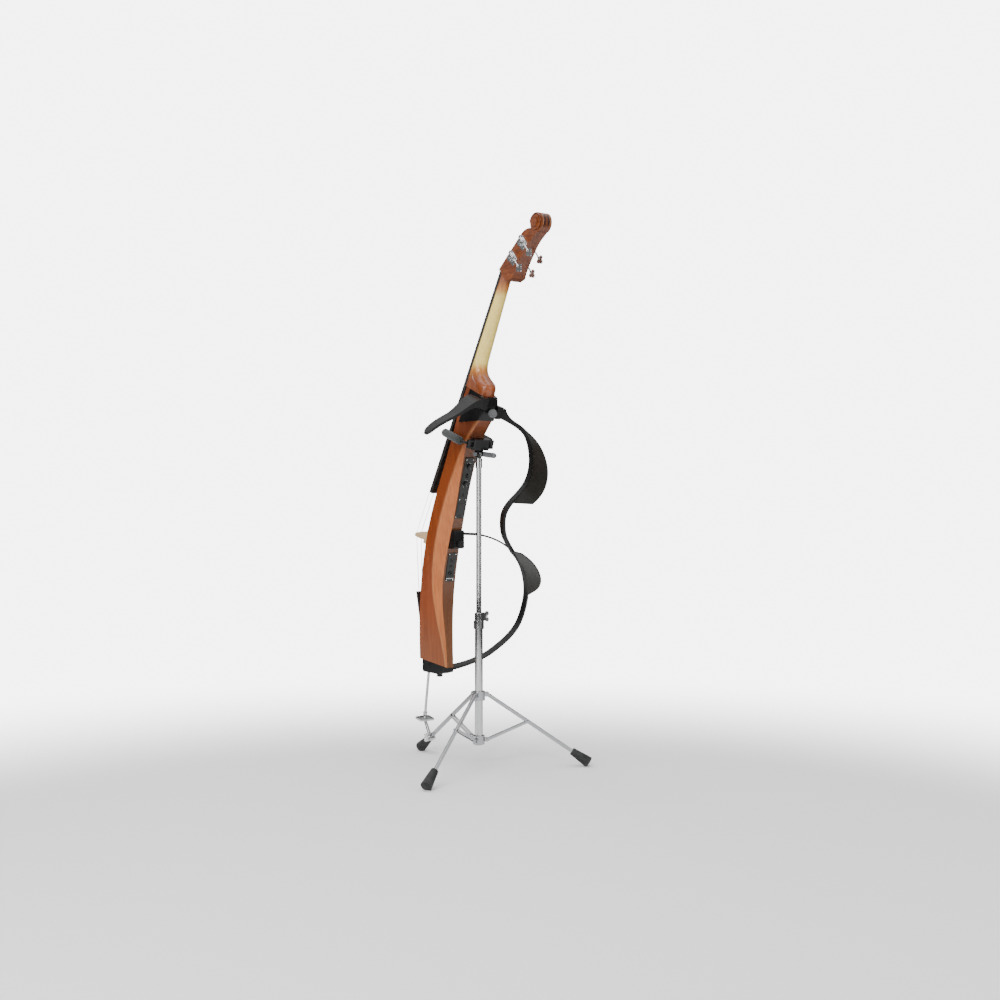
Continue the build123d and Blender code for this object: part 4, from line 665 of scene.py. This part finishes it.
# heights of the panels' screw pairs, each with the screws' distance from the middle and head radius
SCREWS = {"upper": ((1090, PLAIN_SCREW), (885.5, DOOR_SCREW), (948, PLAIN_SCREW)),
          "lower": ((749, PLAIN_SCREW), (654, PLAIN_SCREW))}
KNOB_Z = {"volume": 1067, "tone": 1005}
LINE_Z, LAMP_Z = 660, 741


def screw(bm, at, normal, r):
    """Screw head 0.5 mm proud, with a shallow dome."""
    lathe(bm, at, normal, [(-0.0003, r * 0.9), (0.0001, r), (0.0004, r * 0.86), (0.0005, r * 0.5)], 20)


for name, pairs in SCREWS.items():
    bm = bmesh.new()
    for z, (offset, head_r) in pairs:
        o, n, _ = back_frame(z)
        for sx in (-1, 1):
            screw(bm, o + n * PANEL_T + mm(sx * offset, 0, 0), n, head_r)
    piece(f"{name}_panel_screws", bm, CHROME_FINE, "instrument")

# scale ticks round the two knobs, every fifth one longer
TICKS, TICK_FIRST, TICK_STEP, TICK_FACE, TICK_R = 11, -150, 30, 0.00315, 0.00028
TICK_START, TICK_END, LONG_TICK_END = 0.0112, 0.0134, 0.0146
bm = bmesh.new()
for z in KNOB_Z.values():
    o, n, d = back_frame(z)
    for k in range(TICKS):
        a = math.radians(TICK_FIRST + TICK_STEP * k)
        ray = Vector((1, 0, 0)) * math.sin(a) - d * math.cos(a)
        p0 = o + n * TICK_FACE + ray * TICK_START
        p1 = o + n * TICK_FACE + ray * (TICK_END if k % 5 else LONG_TICK_END)
        tube(bm, [p0, p0.lerp(p1, 0.5), p1], TICK_R, 6)
piece("knob_ticks", bm, ENAMEL, "instrument")

# a line under the lower panel's sockets
bm = bmesh.new()
o, n, _ = back_frame(LINE_Z)
tube(bm, [o + n * 0.0031 + mm(-15.5 + 31 * i / 12, 0, 0) for i in range(13)], 0.0010, 8)
piece("panel_line", bm, ENAMEL, "instrument")

bm = bmesh.new()
o, n, _ = back_frame(LAMP_Z)
lathe(bm, o, n, [(0.0006, 0.00145), (0.0030, 0.00145), (0.0036, 0.0013), (0.0041, 0.0009),
                 (0.0043, 0.0003)], 20)
piece("power_lamp", bm, lens(), "instrument")

# pointer line in each knob's slot
for key, z in KNOB_Z.items():
    o, n, d = back_frame(z)
    bm = bmesh.new()
    tube(bm, [o + n * 0.01285 + d * (0.0022 + 0.0056 * i / 4) for i in range(5)], 0.00045, 8)
    piece(f"knob_line_{key}", bm, ENAMEL, key)

# ---------------------------------------------------------------- floor, light, camera
FLOOR_R, FADE_END, FADE_START, FLOOR_AT = 4.0, 3.9, 1.7, (0.8, 1.2, 0.0)
bm = bmesh.new()
bmesh.ops.create_circle(bm, cap_ends=True, segments=96, radius=FLOOR_R)
me = bpy.data.meshes.new("floor")
bm.to_mesh(me)
bm.free()
floor = bpy.data.objects.new("floor", me)
floor_mat = Mat("pale_floor", rough=0.9, spec=0.1)
floor_mat.colour((0.93, 0.93, 0.93))
# the rim of the floor fades into the white backdrop
squares = [floor_mat.math("POWER", floor_mat.part("Object", axis), 2.0) for axis in ("X", "Y")]
reach = floor_mat.math("SQRT", floor_mat.math("ADD", *squares))
floor_mat.link(floor_mat.band(reach, FADE_END, FADE_START), floor_mat.s.inputs["Alpha"])
me.materials.append(floor_mat.m)
bpy.context.scene.collection.objects.link(floor)
floor.location = FLOOR_AT

# the object is lit by dark walls that pass into a pale ceiling; the camera sees plain white behind
WALLS, CEILING, BACKDROP_STRENGTH = (0.10, 0.10), (0.85, 0.85), 6.0
world = bpy.data.worlds.new("studio")
bpy.context.scene.world = world
world.use_nodes = True
tree = world.node_tree
sky = tree.nodes["Background"]
sky.inputs["Strength"].default_value = 1.0
backdrop = tree.nodes.new("ShaderNodeBackground")
backdrop.inputs["Color"].default_value = (1.0, 1.0, 1.0, 1.0)
backdrop.inputs["Strength"].default_value = BACKDROP_STRENGTH
both = tree.nodes.new("ShaderNodeMixShader")
ray = tree.nodes.new("ShaderNodeLightPath")
coord = tree.nodes.new("ShaderNodeTexCoord")
sep = tree.nodes.new("ShaderNodeSeparateXYZ")
walls = tree.nodes.new("ShaderNodeValToRGB")
tree.links.new(coord.outputs["Generated"], sep.inputs[0])
tree.links.new(sep.outputs["Z"], walls.inputs["Fac"])
for item, (pos, grey) in zip(walls.color_ramp.elements, (WALLS, CEILING)):
    item.position = pos
    item.color = (grey, grey, grey, 1.0)
tree.links.new(walls.outputs["Color"], sky.inputs["Color"])
tree.links.new(ray.outputs["Is Camera Ray"], both.inputs[0])
tree.links.new(sky.outputs[0], both.inputs[1])
tree.links.new(backdrop.outputs[0], both.inputs[2])
tree.links.new(both.outputs[0], tree.nodes["World Output"].inputs["Surface"])


def lamp(name, at, target, size, power):
    data = bpy.data.lights.new(name, "AREA")
    data.shape = "RECTANGLE"
    data.size, data.size_y = size
    data.energy = power
    ob = bpy.data.objects.new(name, data)
    ob.location = at
    ob.rotation_euler = (Vector(target) - Vector(at)).to_track_quat("-Z", "Y").to_euler()
    bpy.context.scene.collection.objects.link(ob)


lamp("key", (3.9, 2.0, 1.9), (0, 0, 1.0), (1.0, 3.4), 100)
lamp("fill", (-1.2, 4.4, 1.9), (0, 0, 1.0), (0.8, 3.4), 50)
lamp("front", (0.5, -4.5, 2.6), (0, 0, 1.0), (2.0, 2.0), 70)
lamp("neck", (3.2, 3.4, 3.2), (0, 0.25, 1.6), (0.6, 0.6), 75)
lamp("top", (0, 0, 6.0), (0, 0, 0), (5.0, 5.0), 200)

CAMERA_AT, CAMERA_LOOK, LENS_MM, SENSOR_MM = (2.516, 3.731, 0.946), (-0.5728, -0.8197, 0.0), 45.9, 36.0
camera = bpy.data.cameras.new("camera")
camera.lens = LENS_MM
camera.sensor_width = SENSOR_MM
cam = bpy.data.objects.new("camera", camera)
cam.location = CAMERA_AT
cam.rotation_euler = Vector(CAMERA_LOOK).to_track_quat("-Z", "Y").to_euler()
bpy.context.scene.collection.objects.link(cam)
bpy.context.scene.camera = cam

bpy.context.view_layer.update()
